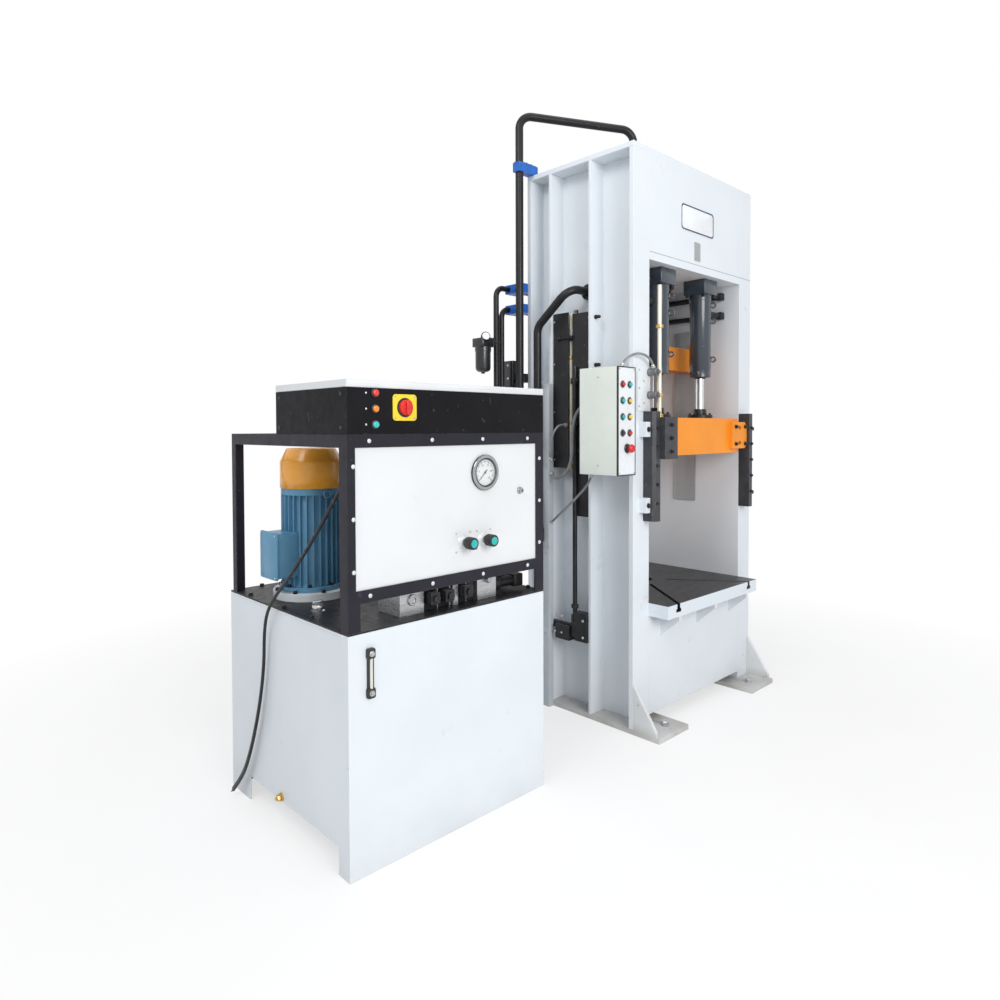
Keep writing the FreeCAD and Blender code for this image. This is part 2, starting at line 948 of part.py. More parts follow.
shoes = [box(f"shoe_{word}", (-guide_in, s.shoe_wide - guide_in),
             span(end * slide_front, end * (slide_front + s.shoe_deep)),
             (s.shoe_low, s.shoe_low + s.shoe_tall))
         for word, end in ENDS.items()]
keep(grouped("shoe_set", shoes), "guide_shoes")

rods = []
piston_low = s.holder_low + s.holder_rise - s.holder_piston
for number, (x, y) in enumerate(holder_spots):
    rod_radius = s.holder_rod
    piston_radius = s.holder_bore - s.piston_gap
    foot_top = slide_top + s.holder_foot_thick
    rods.append(stepped(f"holder_rod_{number}", [
        (s.holder_foot_radius, slide_top, foot_top), (rod_radius, foot_top, piston_low),
        (piston_radius, piston_low, s.holder_low + s.holder_rise)], [], x=x, y=y,
        sides=s.barrel_sides))
keep(grouped("holder_rod_set", rods), "holder_rods")

shoe_top = s.shoe_low + s.shoe_tall
slide_dog = [bar("slide_dog_bar", "z", s.dog_rod_radius, (shoe_top, s.slide_dog_top),
                  x=-s.slide_dog_x, y=-s.slide_dog_y)]
for word, up in (("foot", shoe_top), ("upper", s.upper_collar), ("lower", s.lower_collar)):
    slide_dog.append(bar(f"slide_dog_{word}", "z", s.dog_collar_radius,
                          (up, up + s.dog_collar_thick), x=-s.slide_dog_x, y=-s.slide_dog_y))
keep(joined("slide_dog_weld", slide_dog), "slide_dog_rod")

# ---------------------------------------------------------------- punch crosshead
crosshead_top = s.crosshead_low + s.crosshead_tall
pad_out = wall_in - s.wear_thick - s.running_gap
crosshead_pieces = [
    box("crosshead_beam", (-slide_side, slide_side), (-s.crosshead_deep / 2, s.crosshead_deep / 2),
        (s.crosshead_low, crosshead_top)),
    box("crosshead_pads", (-pad_out, pad_out),
        (-s.crosshead_pad_wide / 2, s.crosshead_pad_wide / 2), (s.crosshead_low, crosshead_top)),
    bar("punch_boss", "z", s.punch_radius, (s.crosshead_low - s.punch_boss, s.crosshead_low + 1),
        sides=s.fine_sides)]
keep(joined("crosshead_weld", crosshead_pieces), "crosshead")

piston_start = gland_top + (lid_low - gland_top) / 2
piston_radius = s.cylinder_bore - s.piston_gap
ram_seat_top = crosshead_top + s.ram_seat_thick
keep(stepped("main_ram", [
    (s.ram_seat_radius, crosshead_top, ram_seat_top),
    (s.ram_radius, ram_seat_top, piston_start),
    (piston_radius, piston_start, piston_start + s.piston_long)], [],
    sides=s.fine_sides), "main_ram")

arm_top = s.arm_low + s.arm_thick
dog_half = s.dog_collar_radius
punch_dog = [
    bar("punch_dog_bar", "z", s.dog_rod_radius, (s.punch_dog_low, s.punch_dog_top),
         x=-s.punch_dog_x, y=s.punch_dog_y),
    bar("punch_dog_collar", "z", s.dog_collar_radius,
         (s.punch_collar, s.punch_collar + s.dog_collar_thick), x=-s.punch_dog_x, y=s.punch_dog_y),
    bar("punch_dog_eye", "z", s.dog_collar_radius,
         (s.punch_dog_low - s.dog_eye_tall, s.punch_dog_low), x=-s.punch_dog_x, y=s.punch_dog_y),
    box("punch_dog_block", (-s.punch_dog_x - dog_half, dog_half - s.punch_dog_x),
        (s.punch_dog_y - dog_half - s.dog_block_more, arm_rear),
        (s.arm_low - s.dog_block_lip, arm_top + s.dog_block_lip)),
    box("punch_dog_arm", (-s.punch_dog_x, s.arm_foot_long - slide_side),
        (s.arm_front, arm_rear), (s.arm_low, arm_top)),
    box("punch_dog_foot", (-slide_side, s.arm_foot_long - slide_side),
        (s.arm_foot_front, arm_rear), (crosshead_top, s.arm_low + 1))]
keep(joined("punch_dog_weld", punch_dog), "punch_dog_rod")

# ---------------------------------------------------------------- left bay fittings
guard_face = half_wide - s.guard_out
rod_guards = [
    box("front_guard", (-guard_face, s.guard_thick - guard_face),
        (front_rib + s.rib_thick, s.front_guard_rear - half_deep),
        (s.front_guard_low, s.front_guard_top)),
    box("rear_guard", (-guard_face, s.guard_thick - guard_face),
        (s.rear_guard_front - half_deep, rear_rib), (s.rear_guard_low, s.rear_guard_top))]
for word, edge in (("front", front_rib + s.rib_thick), ("rear", rear_rib - s.guard_thick)):
    low = s.front_guard_low if word == "front" else s.rear_guard_low
    top = s.front_guard_top if word == "front" else s.rear_guard_top
    leg = box(f"{word}_guard_leg", (-guard_face, -wall_out), (edge, edge + s.guard_thick), (low, top))
    index = 0 if word == "front" else 1
    rod_guards[index] = joined(f"{word}_guard_fold", [rod_guards[index], leg])
keep(grouped("guard_set", rod_guards), "rod_guards")

rod_y = s.switch_rod_inset - half_deep
rod_x = -half_wide + s.switch_rod_out
foot_low = s.guard_foot_low
foot_top = s.guard_foot_top
bracket_in = s.guard_bracket_sunk - half_wide
bracket_pieces = [
    box("rod_bracket_front", (-half_wide - s.guard_bracket_front, bracket_in),
        (front_rib + s.rib_thick, front_rib + s.rib_thick + s.guard_bracket_long),
        (foot_low, foot_top)),
    box("rod_bracket_rear", (-half_wide - s.rod_bracket_out, bracket_in),
        (rod_y + s.rod_bracket_near, rod_y + s.rod_bracket_far),
        (foot_low - s.rod_bracket_drop, foot_top - s.rod_bracket_lower)),
    box("rod_bracket_bar", (s.rod_bar_in - half_wide, bracket_in),
        (front_rib + s.rib_thick, rear_rib),
        (foot_low + s.rod_bar_low, foot_low + s.rod_bar_low + s.rod_bar_tall)),
    bar("rod_bracket_boss", "z", s.dog_collar_radius + s.rod_boss_more,
        (foot_low + s.rod_boss_inset, foot_top - s.rod_boss_inset), x=rod_x, y=rod_y)]
guide_low = s.switch_rod_top - s.rod_guide_drop
guide_high = box("switch_rod_guide", (-half_wide - s.rod_guide_out, -guard_face),
                 (rod_y - s.rod_guide_half, rod_y + s.rod_guide_half),
                 (guide_low, guide_low + s.rod_guide_tall))
switch_bar = bar("switch_rod_bar", "z", s.switch_rod_radius,
                 (foot_top - s.rod_boss_inset, s.switch_rod_top), x=rod_x, y=rod_y)
keep(joined("switch_rod_weld", bracket_pieces + [switch_bar, guide_high]), "switch_rod")

duct_near = s.duct_front - half_deep
keep(box("duct_box", (-half_wide - s.duct_deep, -half_wide),
         (duct_near, duct_near + s.duct_wide), (0, s.duct_top)), "wiring_duct")

switch_face = half_deep + s.switch_plate_thick
switch_edge = s.switch_edge_inset - wall_in
switches = [box("switch_sheet", (-wall_in - s.switch_plate_wide, -wall_in),
                (-switch_face, -half_deep),
                (gib_top + s.switch_plate_low + s.switch_sheet_rise,
                 gib_top + s.switch_plate_low + s.switch_plate_tall))]
for word, up in (("upper", gib_top + s.upper_switch), ("lower", gib_top + s.lower_switch)):
    half = s.switch_body_tall / 2
    switches.append(box(f"{word}_switch", (switch_edge - s.switch_body_wide, switch_edge),
                        (-switch_face - s.switch_body_deep, -switch_face), (up - half, up + half)))
keep(joined("switch_weld", switches), "limit_switches")

# ---------------------------------------------------------------- push-button station
station_left = -half_wide - s.station_wide
cover_front = -half_deep - s.station_front
cover_back = cover_front + s.cover_thick
station_rear = cover_front + s.station_deep
station_top = s.station_low + s.station_tall
buttons = []
for row in range(int(float(s.button_rows))):
    up = s.button_row_high - row * s.button_row_step
    for column_word, across in (("left", s.button_far), ("right", s.button_near)):
        buttons.append((f"button_{column_word}_{row + 1}", -half_wide - across, up))
stop_x = -half_wide - s.stop_across
hole_gap = s.shaft_gap
station_block = box("station_block", (station_left, -half_wide), (cover_back, station_rear),
                    (s.station_low, station_top))
station_room = box("station_room", (station_left + s.station_wall, -half_wide - s.station_wall),
                   (cover_back - 1, station_rear - s.station_wall),
                   (s.station_low + s.station_wall, station_top - s.station_wall))
keep(cut("station_cut", station_block, [station_room]), "button_station")

cover_sheet = box("cover_sheet", (station_left, -half_wide), (cover_front, cover_back),
                  (s.station_low, station_top))
button_holes = [bar(f"hole_{name}", "y", s.button_radius + hole_gap,
                    (cover_front - 1, cover_back + 1), x=x, z=z)
                for name, x, z in buttons + [("stop", stop_x, s.stop_up)]]
keep(cut("cover_cut", cover_sheet, button_holes), "station_cover")

for name, x, z in buttons:
    keep(bar(f"{name}_cap", "y", s.button_radius,
              (cover_front - s.button_proud, cover_back + s.button_long - s.button_proud),
              x=x, z=z), name)
stop_face = cover_front - s.stop_proud
stop_stem = bar("stop_stem", "y", s.button_radius, (stop_face, cover_back + s.button_travel),
                x=stop_x, z=s.stop_up)
stop_head = bar("stop_head", "y", s.stop_radius, (stop_face - s.stop_thick, stop_face),
                x=stop_x, z=s.stop_up, sides=s.round_sides)
keep(joined("stop_weld", [stop_stem, stop_head]), "stop_button")

# ---------------------------------------------------------------- oil tank
left = -s.pack_left
right = -s.pack_right
front = -s.pack_front
rear = s.pack_rear
lid_top = s.tank_top + s.tank_lid_thick
tank_block = box("tank_block", (left, right), (front, rear), (0, s.tank_top))
tank_cuts = [
    box("tank_room", (left + s.tank_wall, right - s.tank_wall),
        (front + s.tank_wall, rear - s.tank_wall), (s.tank_floor + s.tank_wall, s.tank_top + 1)),
    box("tank_under", (left + s.tank_wall, right - s.tank_wall),
        (front + s.tank_wall, rear - s.tank_wall), (-1, s.tank_floor)),
    box("tank_arch", (left - 1, right + 1),
        (front + s.tank_leg_front, rear - s.tank_leg_rear), (-1, s.tank_floor))]
keep(cut("tank_cut", tank_block, tank_cuts), "oil_tank")
tank_sheet = box("tank_sheet", (left, right), (front, rear), (s.tank_top, lid_top))
pump_opening = bar("pump_hole", "z", s.pump_hole, (s.tank_top - 1, lid_top + 1),
                x=-s.motor_x, y=s.motor_y, sides=s.round_sides)
keep(cut("tank_sheet_cut", tank_sheet, [pump_opening]), "tank_top_plate")

half_level = s.level_wide / 2
level_pieces = [box("level_glass", (-s.level_x - s.level_neck / 2, s.level_neck / 2 - s.level_x),
                    (front - s.level_thick + s.level_glass_sunk, front),
                    (s.level_low, s.level_low + s.level_tall))]
for word, low in (("low", s.level_low), ("high", s.level_low + s.level_tall - s.level_end)):
    level_pieces.append(box(f"level_end_{word}", (-s.level_x - half_level, half_level - s.level_x),
                            (front - s.level_thick, front), (low, low + s.level_end)))
fittings = [
    joined("level_weld", level_pieces),
    bar("drain_plug", "x", s.drain_radius, (left - s.drain_long, left), y=s.drain_y,
         z=s.tank_floor + s.drain_radius + s.drain_clear),
    bar("breather_cap", "z", s.breather_radius, (lid_top, lid_top + s.breather_tall),
         x=-s.breather_x, y=-s.breather_y)]
keep(grouped("fitting_set", fittings), "tank_fittings")

# ---------------------------------------------------------------- pack frame and panel
frame_rear = s.pack_frame_rear
panel_left = left + s.panel_left_inset
panel_right = right - s.panel_right_inset
rail_low = s.pack_frame_top - s.top_rail_tall
face_back = front + s.post_thick
face = box("pack_face", (left, right), (front, face_back), (lid_top, s.pack_frame_top))
face_holes = [
    box("panel_hole", (panel_left, panel_right), (front - 1, face_back + 1), (s.panel_low, rail_low)),
    box("under_panel_hole", (left + s.post_wide, right - s.post_wide), (front - 1, face_back + 1),
        (lid_top - 1, s.lower_rail_low))]
pack_pieces = [cut("pack_face_cut", face, face_holes)]
for side_word, (outer, inner) in {"left": (left, left + s.post_thick),
                                  "right": (right - s.post_thick, right)}.items():
    pack_pieces += [
        box(f"{side_word}_front_post", (outer, inner), (front, front + s.post_wide),
            (lid_top, s.pack_frame_top)),
        box(f"{side_word}_rear_post", (outer, inner), (frame_rear - s.rear_post_wide, frame_rear),
            (lid_top, s.pack_frame_top)),
        box(f"{side_word}_top_rail", (outer, inner), (front, frame_rear),
            (rail_low, s.pack_frame_top))]
for word, edges in (("left", (left, left + s.post_wide)), ("right", (right - s.post_wide, right))):
    pack_pieces.append(box(f"{word}_rear_leg", edges, (frame_rear - s.post_thick, frame_rear),
                           (lid_top, s.pack_frame_top)))
pack_pieces.append(box("rear_top_rail", (left, right), (frame_rear - s.post_thick, frame_rear),
                       (rail_low, s.pack_frame_top)))
keep(joined("pack_frame_weld", pack_pieces), "pack_frame")

knob_spots = {"left_knob": -s.left_knob_x, "right_knob": -s.right_knob_x}
panel_back = face_back + s.panel_thick
panel_sheet = box("panel_sheet", (panel_left - s.panel_lap, panel_right + s.panel_lap),
                  (face_back, panel_back), (s.panel_low - s.panel_lap, rail_low + s.panel_lap))
panel_holes = [bar(f"panel_hole_{name}", "y", bore_for(s.knob_shaft),
                    (face_back - 1, panel_back + 1), x=x, z=s.knob_up)
               for name, x in knob_spots.items()]
panel_holes.append(bar("gauge_hole", "y", s.gauge_dial, (face_back - 1, panel_back + 1),
                       x=-s.gauge_x, z=s.gauge_up, sides=s.fine_sides))
keep(cut("panel_cut", panel_sheet, panel_holes), "control_panel")

gauge_front = face_back - s.gauge_rim
dial_front = gauge_front + s.gauge_recess
keep(stepped("gauge", [
    (s.gauge_radius, gauge_front, face_back),
    (s.gauge_dial - s.gauge_clear, face_back, face_back + s.gauge_case_deep)],
    [(s.gauge_dial, gauge_front - 1, dial_front)], "y", -s.gauge_x, 0, s.gauge_up,
    s.fine_sides), "pressure_gauge")
needle_back = dial_front - s.running_gap
needle_front = needle_back - s.needle_thick
needle = joined("needle_weld", [
    drum("needle_pivot", "y", s.needle_hub, (0, s.needle_thick)),
    box("needle_blade", (-s.needle_thick, s.needle_thick), (0, s.needle_thick),
        (-s.needle_long, s.needle_hub * 2))])
place(needle, -s.gauge_x, needle_front, s.gauge_up, Rotation(Vector(0, 1, 0), 45))
keep(needle, "gauge_needle")

for name, x in knob_spots.items():
    knob_front = face_back - s.knob_proud
    knob_rear = knob_front + s.knob_long
    shaft = drum(f"{name}_shaft", "y", s.knob_shaft, (knob_rear, face_back + s.knob_shaft_in),
                 x=x, z=s.knob_up)
    grip = bar(f"{name}_grip", "y", s.knob_radius, (knob_front, knob_rear), x=x, z=s.knob_up,
               sides=s.round_sides)
    keep(joined(f"{name}_weld", [shaft, grip]), name)

# ---------------------------------------------------------------- control box
box_rear = front + s.box_deep
box_block = box("box_block", (left, right), (front, box_rear), (s.pack_frame_top, s.box_top))
box_room = box("box_room", (left + s.box_wall, right - s.box_wall),
               (front + s.box_wall, box_rear - s.box_wall),
               (s.pack_frame_top + s.box_wall, s.box_top + 1))
keep(cut("box_cut", box_block, [box_room]), "control_box")
keep(box("box_lid", (left, right), (front, box_rear), (s.box_top, s.box_top + s.box_lid_thick)),
     "control_box_lid")
lamps = [bar(f"lamp_{number}", "y", s.lamp_radius, (front - s.lamp_proud, front), x=-s.lamp_x,
              z=s.lamp_high - number * s.lamp_step) for number in range(3)]

isolator_x = -s.isolator_left + s.isolator_wide / 2
isolator_up = s.isolator_low + s.isolator_tall / 2
isolator_front = front - s.isolator_thick
isolator = box("isolator_sheet", (-s.isolator_left, s.isolator_wide - s.isolator_left),
               (isolator_front, front), (s.isolator_low, s.isolator_low + s.isolator_tall))
keep(grouped("switchgear_set", lamps + [isolator]), "box_switchgear")
handle_back = isolator_front - s.running_gap
keep(joined("handle_weld", [
    bar("handle_disc", "y", s.isolator_hub, (handle_back - s.handle_thick, handle_back),
        x=isolator_x, z=isolator_up, sides=s.round_sides),
    drum("handle_boss", "y", s.handle_boss, (handle_back - s.handle_boss_proud, handle_back - 1),
         x=isolator_x, z=isolator_up),
    box("handle_grip", (isolator_x - s.handle_grip_wide / 2, isolator_x + s.handle_grip_wide / 2),
        (handle_back - s.handle_grip_proud, handle_back - 1),
        (isolator_up - s.handle_grip_long / 2, isolator_up + s.handle_grip_long / 2))]),
    "isolator_handle")

# ---------------------------------------------------------------- manifold on the tank
block_front = -s.manifold_front
block_rear = block_front + s.manifold_deep
block_top = lid_top + s.manifold_tall
valve_front = block_front + (s.manifold_deep - s.valve_deep) / 2
manifold_pieces = [
    box("manifold_long", (-s.manifold_left, -s.manifold_right), (valve_front, block_rear),
        (lid_top, lid_top + s.valve_tall)),
    box("manifold_inlet", (-s.manifold_left, s.manifold_inlet_wide - s.manifold_left),
        (block_front, block_rear), (lid_top, block_top)),
    box("manifold_spacer", (-s.manifold_mid, s.manifold_plate - s.manifold_mid),
        (block_front, block_rear), (lid_top, block_top)),
    box("manifold_outlet", (-s.manifold_block, -s.manifold_right), (block_front, block_rear),
        (lid_top, block_top))]
keep(joined("manifold_weld", manifold_pieces), "valve_manifold")

# ---------------------------------------------------------------- motor and pump
def motor_outline():
    """Fin tips and roots around the stator, as one closed line."""
    root = float(s.motor_core)
    tip = float(s.motor_fin_radius)
    half_root = float(s.motor_fin_thick) / 2 / root
    half_tip = half_root * 0.75 * root / tip
    points = []
    for fin in range(sides_of(s.motor_fins)):
        middle = 2 * math.pi * fin / sides_of(s.motor_fins)
        for radius, angle in ((root, middle - half_root), (tip, middle - half_tip),
                              (tip, middle + half_tip), (root, middle + half_root)):
            points.append(Vector(radius * math.cos(angle), radius * math.sin(angle), 0))
    return Part.makePolygon(points + points[:1])


fin_low = s.motor_low + s.motor_end
fins = doc.addObject("Part::Feature", "motor_fin_ring")
fins.Shape = Part.Face(motor_outline()).extrude(Vector(0, 0, float(s.motor_high - fin_low)))
fins.Placement = Placement(Vector(0, 0, float(fin_low)), Rotation())
terminal_box = box("terminal_box", (-s.motor_core - s.terminal_wide, s.terminal_sunk - s.motor_core),
                   (s.terminal_front - s.motor_y, s.terminal_front + s.terminal_deep - s.motor_y),
                   (s.terminal_low, s.terminal_low + s.terminal_tall))
motor_flange = bar("motor_flange", "z", s.motor_core, (s.motor_low, fin_low),
                   sides=s.fine_sides)
shaft_bore = bore_for(s.shaft_radius)
motor_bores = [
    bar("motor_shaft_bore", "z", shaft_bore, (s.motor_low - 1, s.motor_high + 1)),
    bar("motor_rotor_bore", "z", s.motor_bore, (fin_low, s.motor_high - s.motor_end),
        sides=s.round_sides)]
motor_weld = joined("motor_weld", [fins, motor_flange, terminal_box])
keep(place(cut("motor_cut", motor_weld, motor_bores), -s.motor_x, s.motor_y), "motor_body")

cowl_in = bore_for(s.motor_fin_radius, s.fine_sides)
cowl_pieces = []
for word, wide, top_wide, low, high in (
        ("outer", cowl_in + s.cowl_thick, s.cowl_top_radius, s.cowl_low, s.cowl_top),
        ("inner", cowl_in, s.cowl_top_radius - s.cowl_thick, s.cowl_low - 1,
         s.cowl_top - s.cowl_thick)):
    cowl_pieces.append(joined(f"cowl_{word}", [
        bar(f"cowl_{word}_wall", "z", wide, (low, s.cowl_shoulder), sides=s.fine_sides),
        tapered(f"cowl_{word}_shoulder", wide, top_wide, (s.cowl_shoulder, high), s.fine_sides)]))
grille = []
for number in range(int(float(s.cowl_slots))):
    angle = 360 * number / float(s.cowl_slots)
    slot = doc.addObject("Part::Box", f"cowl_slot_{number}")
    bind(slot, "Length", s.cowl_slot_end - s.cowl_slot_start)
    bind(slot, "Width", s.cowl_slot_wide)
    slot.Height = 3 * float(s.cowl_thick)
    turn = Rotation(Vector(0, 0, 1), angle)
    corner = turn.multVec(Vector(float(s.cowl_slot_start), -float(s.cowl_slot_wide) / 2, 0))
    slot.Placement = Placement(corner, turn)
    bind(slot, ".Placement.Base.z", s.cowl_top - 2 * s.cowl_thick)
    grille.append(slot)
keep(place(cut("cowl_cut", cowl_pieces[0], [cowl_pieces[1]] + grille), -s.motor_x, s.motor_y),
     "fan_cowl")

coupling_room = s.bell_radius - s.bell_wall
keep(place(stepped("pump", [
    (s.pump_radius, s.pump_low, s.bell_low), (s.bell_radius, s.bell_low, lid_top),
    (s.bell_ring, lid_top, s.motor_low)],
    [(coupling_room, s.bell_low + s.bell_wall, s.motor_low + 1)], sides=s.fine_sides),
    -s.motor_x, s.motor_y), "pump_and_bell")

rotor_radius = s.motor_bore * math.cos(math.pi / sides_of(s.round_sides)) - s.rotor_gap
fan_top = s.fan_low + s.fan_thick
rotor_steps = [
    bar("rotor_coupling", "z", s.coupling_radius, (s.coupling_low, s.coupling_top)),
    drum("rotor_shaft", "z", s.shaft_radius, (s.coupling_top, s.fan_low)),
    bar("rotor_core", "z", rotor_radius, (s.rotor_low, s.rotor_high), sides=s.round_sides),
    bar("fan_disc", "z", s.fan_radius, (s.fan_low, fan_top), sides=s.round_sides),
    bar("fan_boss", "z", s.fan_hub, (fan_top, s.fan_low + s.fan_blade_tall))]
blades = []
for number in range(int(float(s.fan_blades))):
    turn = Rotation(Vector(0, 0, 1), 360 * number / float(s.fan_blades))
    blade = doc.addObject("Part::Box", f"fan_blade_{number}")
    bind(blade, "Length", s.fan_radius - s.fan_hub - 1)
    bind(blade, "Width", s.fan_thick)
    bind(blade, "Height", s.fan_blade_tall - s.fan_thick + 1)
    corner = turn.multVec(Vector(float(s.fan_hub) - 2, -float(s.fan_thick) / 2, 0))
    blade.Placement = Placement(corner, turn)
    bind(blade, ".Placement.Base.z", fan_top - 1)
    blades.append(blade)
keep(place(joined("rotor_weld", rotor_steps + blades), -s.motor_x, s.motor_y), "motor_rotor")

# ---------------------------------------------------------------- pipework
def elbow(name, x, y, z, side):
    """A square elbow block where two pipes meet."""
    half = side / 2
    return box(name, (x - half, x + half), (y - half, y + half), (z - half, z + half))


def leg(name, axis, start, end, radius, x=0, y=0, z=0, sides=s.small_sides):
    """A straight pipe between two values on one axis."""
    return bar(name, axis, radius, span(start, end), x=x, y=y, z=z, sides=sides)


pipe_r = s.main_pipe_radius
turn_y = block_front + s.manifold_deep * s.main_port_share
main_pipe_top = s.frame_tall + s.main_pipe_rise
main_run = pipe("main_pipe_run", [
    (-s.main_pipe_x, s.main_pipe_y, s.main_pipe_low),
    (-s.main_pipe_x, s.main_pipe_y, main_pipe_top),
    (-s.main_pipe_in_x, s.main_pipe_in_y, main_pipe_top),
    (-s.main_pipe_in_x, s.main_pipe_in_y, cylinder_top)], pipe_r, s.small_sides,
    s.main_pipe_bend)
main_pieces = [
    main_run,
    elbow("main_elbow_1", -s.main_pipe_x, s.main_pipe_y, s.main_pipe_low, s.elbow_side),
    leg("main_leg_1", "x", -s.main_pipe_turn, -s.main_pipe_x, pipe_r, y=s.main_pipe_y,
        z=s.main_pipe_low),
    elbow("main_elbow_2", -s.main_pipe_turn, s.main_pipe_y, s.main_pipe_low, s.elbow_side),
    leg("main_leg_2", "y", turn_y, s.main_pipe_y, pipe_r, x=-s.main_pipe_turn, z=s.main_pipe_low),
    elbow("main_elbow_3", -s.main_pipe_turn, turn_y, s.main_pipe_low, s.elbow_side),
    leg("main_leg_3", "x", -s.manifold_right, -s.main_pipe_turn, pipe_r, y=turn_y,
        z=s.main_pipe_low)]
keep(joined("main_pipe_weld", main_pieces), "main_pressure_pipe")

return_y = block_front + s.manifold_deep * s.return_port_share
return_run = pipe("return_pipe_run", [
    (-s.gland_radius, 0, s.return_up), (-s.return_x, 0, s.return_up),
    (-s.return_x, s.return_rear, s.return_bend_low),
    (-s.return_x, s.return_rear, s.return_low)], pipe_r, s.small_sides, s.main_pipe_bend)
return_pieces = [
    return_run,
    leg("return_flange", "x", -wall_out - s.return_flange_thick, -wall_out, s.return_flange,
        z=s.return_up),
    elbow("return_elbow_1", -s.return_x, s.return_rear, s.return_low, s.elbow_side),
    leg("return_leg_1", "x", -s.return_turn, -s.return_x, pipe_r, y=s.return_rear, z=s.return_low),
    elbow("return_elbow_2", -s.return_turn, s.return_rear, s.return_low, s.elbow_side),
    leg("return_leg_2", "y", return_y, s.return_rear, pipe_r, x=-s.return_turn, z=s.return_low),
    elbow("return_elbow_3", -s.return_turn, return_y, s.return_low, s.elbow_side),
    leg("return_leg_3", "x", -s.manifold_right, -s.return_turn, pipe_r, y=return_y,
        z=s.return_low)]
keep(joined("return_pipe_weld", return_pieces), "return_pipe")


def holder_line(word, x, up, low, turn, port, target):
    """Riser behind the pack, header behind the press and a branch along each wall."""
    line_r = s.line_radius
    pieces = [pipe(f"{word}_riser", [(-x, s.line_rear, low), (-x, s.line_rear, up),
                                     (s.line_wall, s.line_rear, up)], line_r,
                  s.line_sides, s.line_bend)]
    pieces.append(elbow(f"{word}_low_elbow", -x, s.line_rear, low, s.line_elbow))
    pieces.append(leg(f"{word}_low_run", "x", -turn, -x, line_r, y=s.line_rear, z=low,
                      sides=s.line_sides))
    pieces.append(elbow(f"{word}_turn_elbow", -turn, s.line_rear, low, s.line_elbow))
    pieces.append(leg(f"{word}_pack_run", "y", target, s.line_rear, line_r, x=-turn, z=low,
                      sides=s.line_sides))
    for wall_word, side in SIDES.items():
        wall = side * s.line_wall
        pieces.append(elbow(f"{word}_{wall_word}_elbow", wall, s.line_rear, up, s.line_elbow))
        pieces.append(leg(f"{word}_{wall_word}_run", "y", -holder_y, s.line_rear, line_r,
                          x=wall, z=up, sides=s.line_sides))
        pieces.append(elbow(f"{word}_{wall_word}_end", wall, -holder_y, up, s.line_elbow))
        for end_word, end in ENDS.items():
            pieces.append(leg(f"{word}_{wall_word}_{end_word}", "x", side * port, wall, line_r,
                              y=end * holder_y, z=up, sides=s.line_sides))
    return joined(f"{word}_line_weld", pieces)


valve_rear = block_rear
high_port = holder_x + s.holder_flange_side / 2
low_port = holder_x + s.holder_radius
keep(grouped("holder_line_set", [
    holder_line("high", s.high_line_x, s.high_line_up, s.high_line_low, s.high_line_turn,
                high_port, valve_rear),
    holder_line("low", s.low_line_x, s.low_line_up, s.low_line_low, s.low_line_turn,
                low_port, valve_rear)]), "holder_lines")

clamp_arm = box("clamp_foot", (-s.main_pipe_x - s.clamp_side, s.clamp_thick - half_wide),
                (s.main_pipe_y - s.clamp_side, half_deep), (s.frame_tall, s.frame_tall + s.clamp_tall))
clamp_hole = bar("clamp_hole", "z", pipe_r, (s.frame_tall - 1, s.frame_tall + s.clamp_tall + 1),
                  x=-s.main_pipe_x, y=s.main_pipe_y)
side_clamps = [cut("top_clamp", clamp_arm, [clamp_hole])]
for word, x, up in (("high", s.high_line_x, s.high_line_up), ("low", s.low_line_x, s.low_line_up)):
    block = box(f"{word}_clamp_block", (-half_wide - s.clamp_block_out, s.clamp_side - half_wide),
                (half_deep, s.line_rear + s.line_radius + s.line_clamp_more),
                (up - s.clamp_tall / 2, up + s.clamp_tall / 2))
    side_clamps.append(cut(f"{word}_clamp", block, [
        bar(f"{word}_clamp_bore", "x", s.line_radius,
            (-half_wide - s.clamp_block_out - 1, s.clamp_side + 1 - half_wide),
            y=s.line_rear, z=up, sides=s.line_sides)]))
keep(grouped("clamp_set_blue", side_clamps), "pipe_clamps")

# air filter with its gauge and head, clamped to the outer riser
filter_at = -s.filter_x
filter_top = s.filter_up + s.filter_tall
head_half = s.filter_head_side / 2
filter_pieces = [
    bar("filter_bowl", "z", s.filter_radius, (s.filter_up, filter_top), x=filter_at,
         y=s.line_rear),
    box("filter_head", (filter_at - head_half, filter_at + head_half),
        (s.line_rear - head_half, s.line_rear + head_half),
        (filter_top - 1, filter_top + s.filter_head_tall)),
    bar("filter_gauge", "y", s.filter_gauge,
         (s.line_rear - head_half - s.filter_gauge_thick, s.line_rear - head_half + 1),
         x=filter_at - head_half / 2, z=filter_top + s.filter_head_tall - s.filter_gauge_drop),
    box("filter_arm", (filter_at + head_half - 1, -s.high_line_x - s.line_radius),
        (s.line_rear - s.filter_arm / 2, s.line_rear + s.filter_arm / 2),
        (filter_top + s.filter_arm_rise, filter_top + s.filter_arm_rise + s.filter_arm * 2))]
valve_front_face = half_deep + s.valve_box_reach
valve_right = s.valve_box_wide - s.valve_box_left
valve_body = box("air_valve_body", (-s.valve_box_left, valve_right),
                 (valve_front_face, valve_front_face + s.valve_box_deep),
                 (s.valve_box_low, s.valve_box_low + s.valve_box_tall))
valve_middle = s.valve_box_low + s.valve_box_tall / 2
valve_bracket = box("air_valve_bracket", (valve_right - s.clamp_side / 2, s.clamp_side - half_wide),
                    (half_deep, valve_front_face),
                    (valve_middle - s.clamp_tall / 2, valve_middle + s.clamp_tall / 2))
valve_block = joined("air_valve_weld", [valve_body, valve_bracket])
keep(grouped("air_set", [joined("filter_weld", filter_pieces), valve_block]), "air_unit")

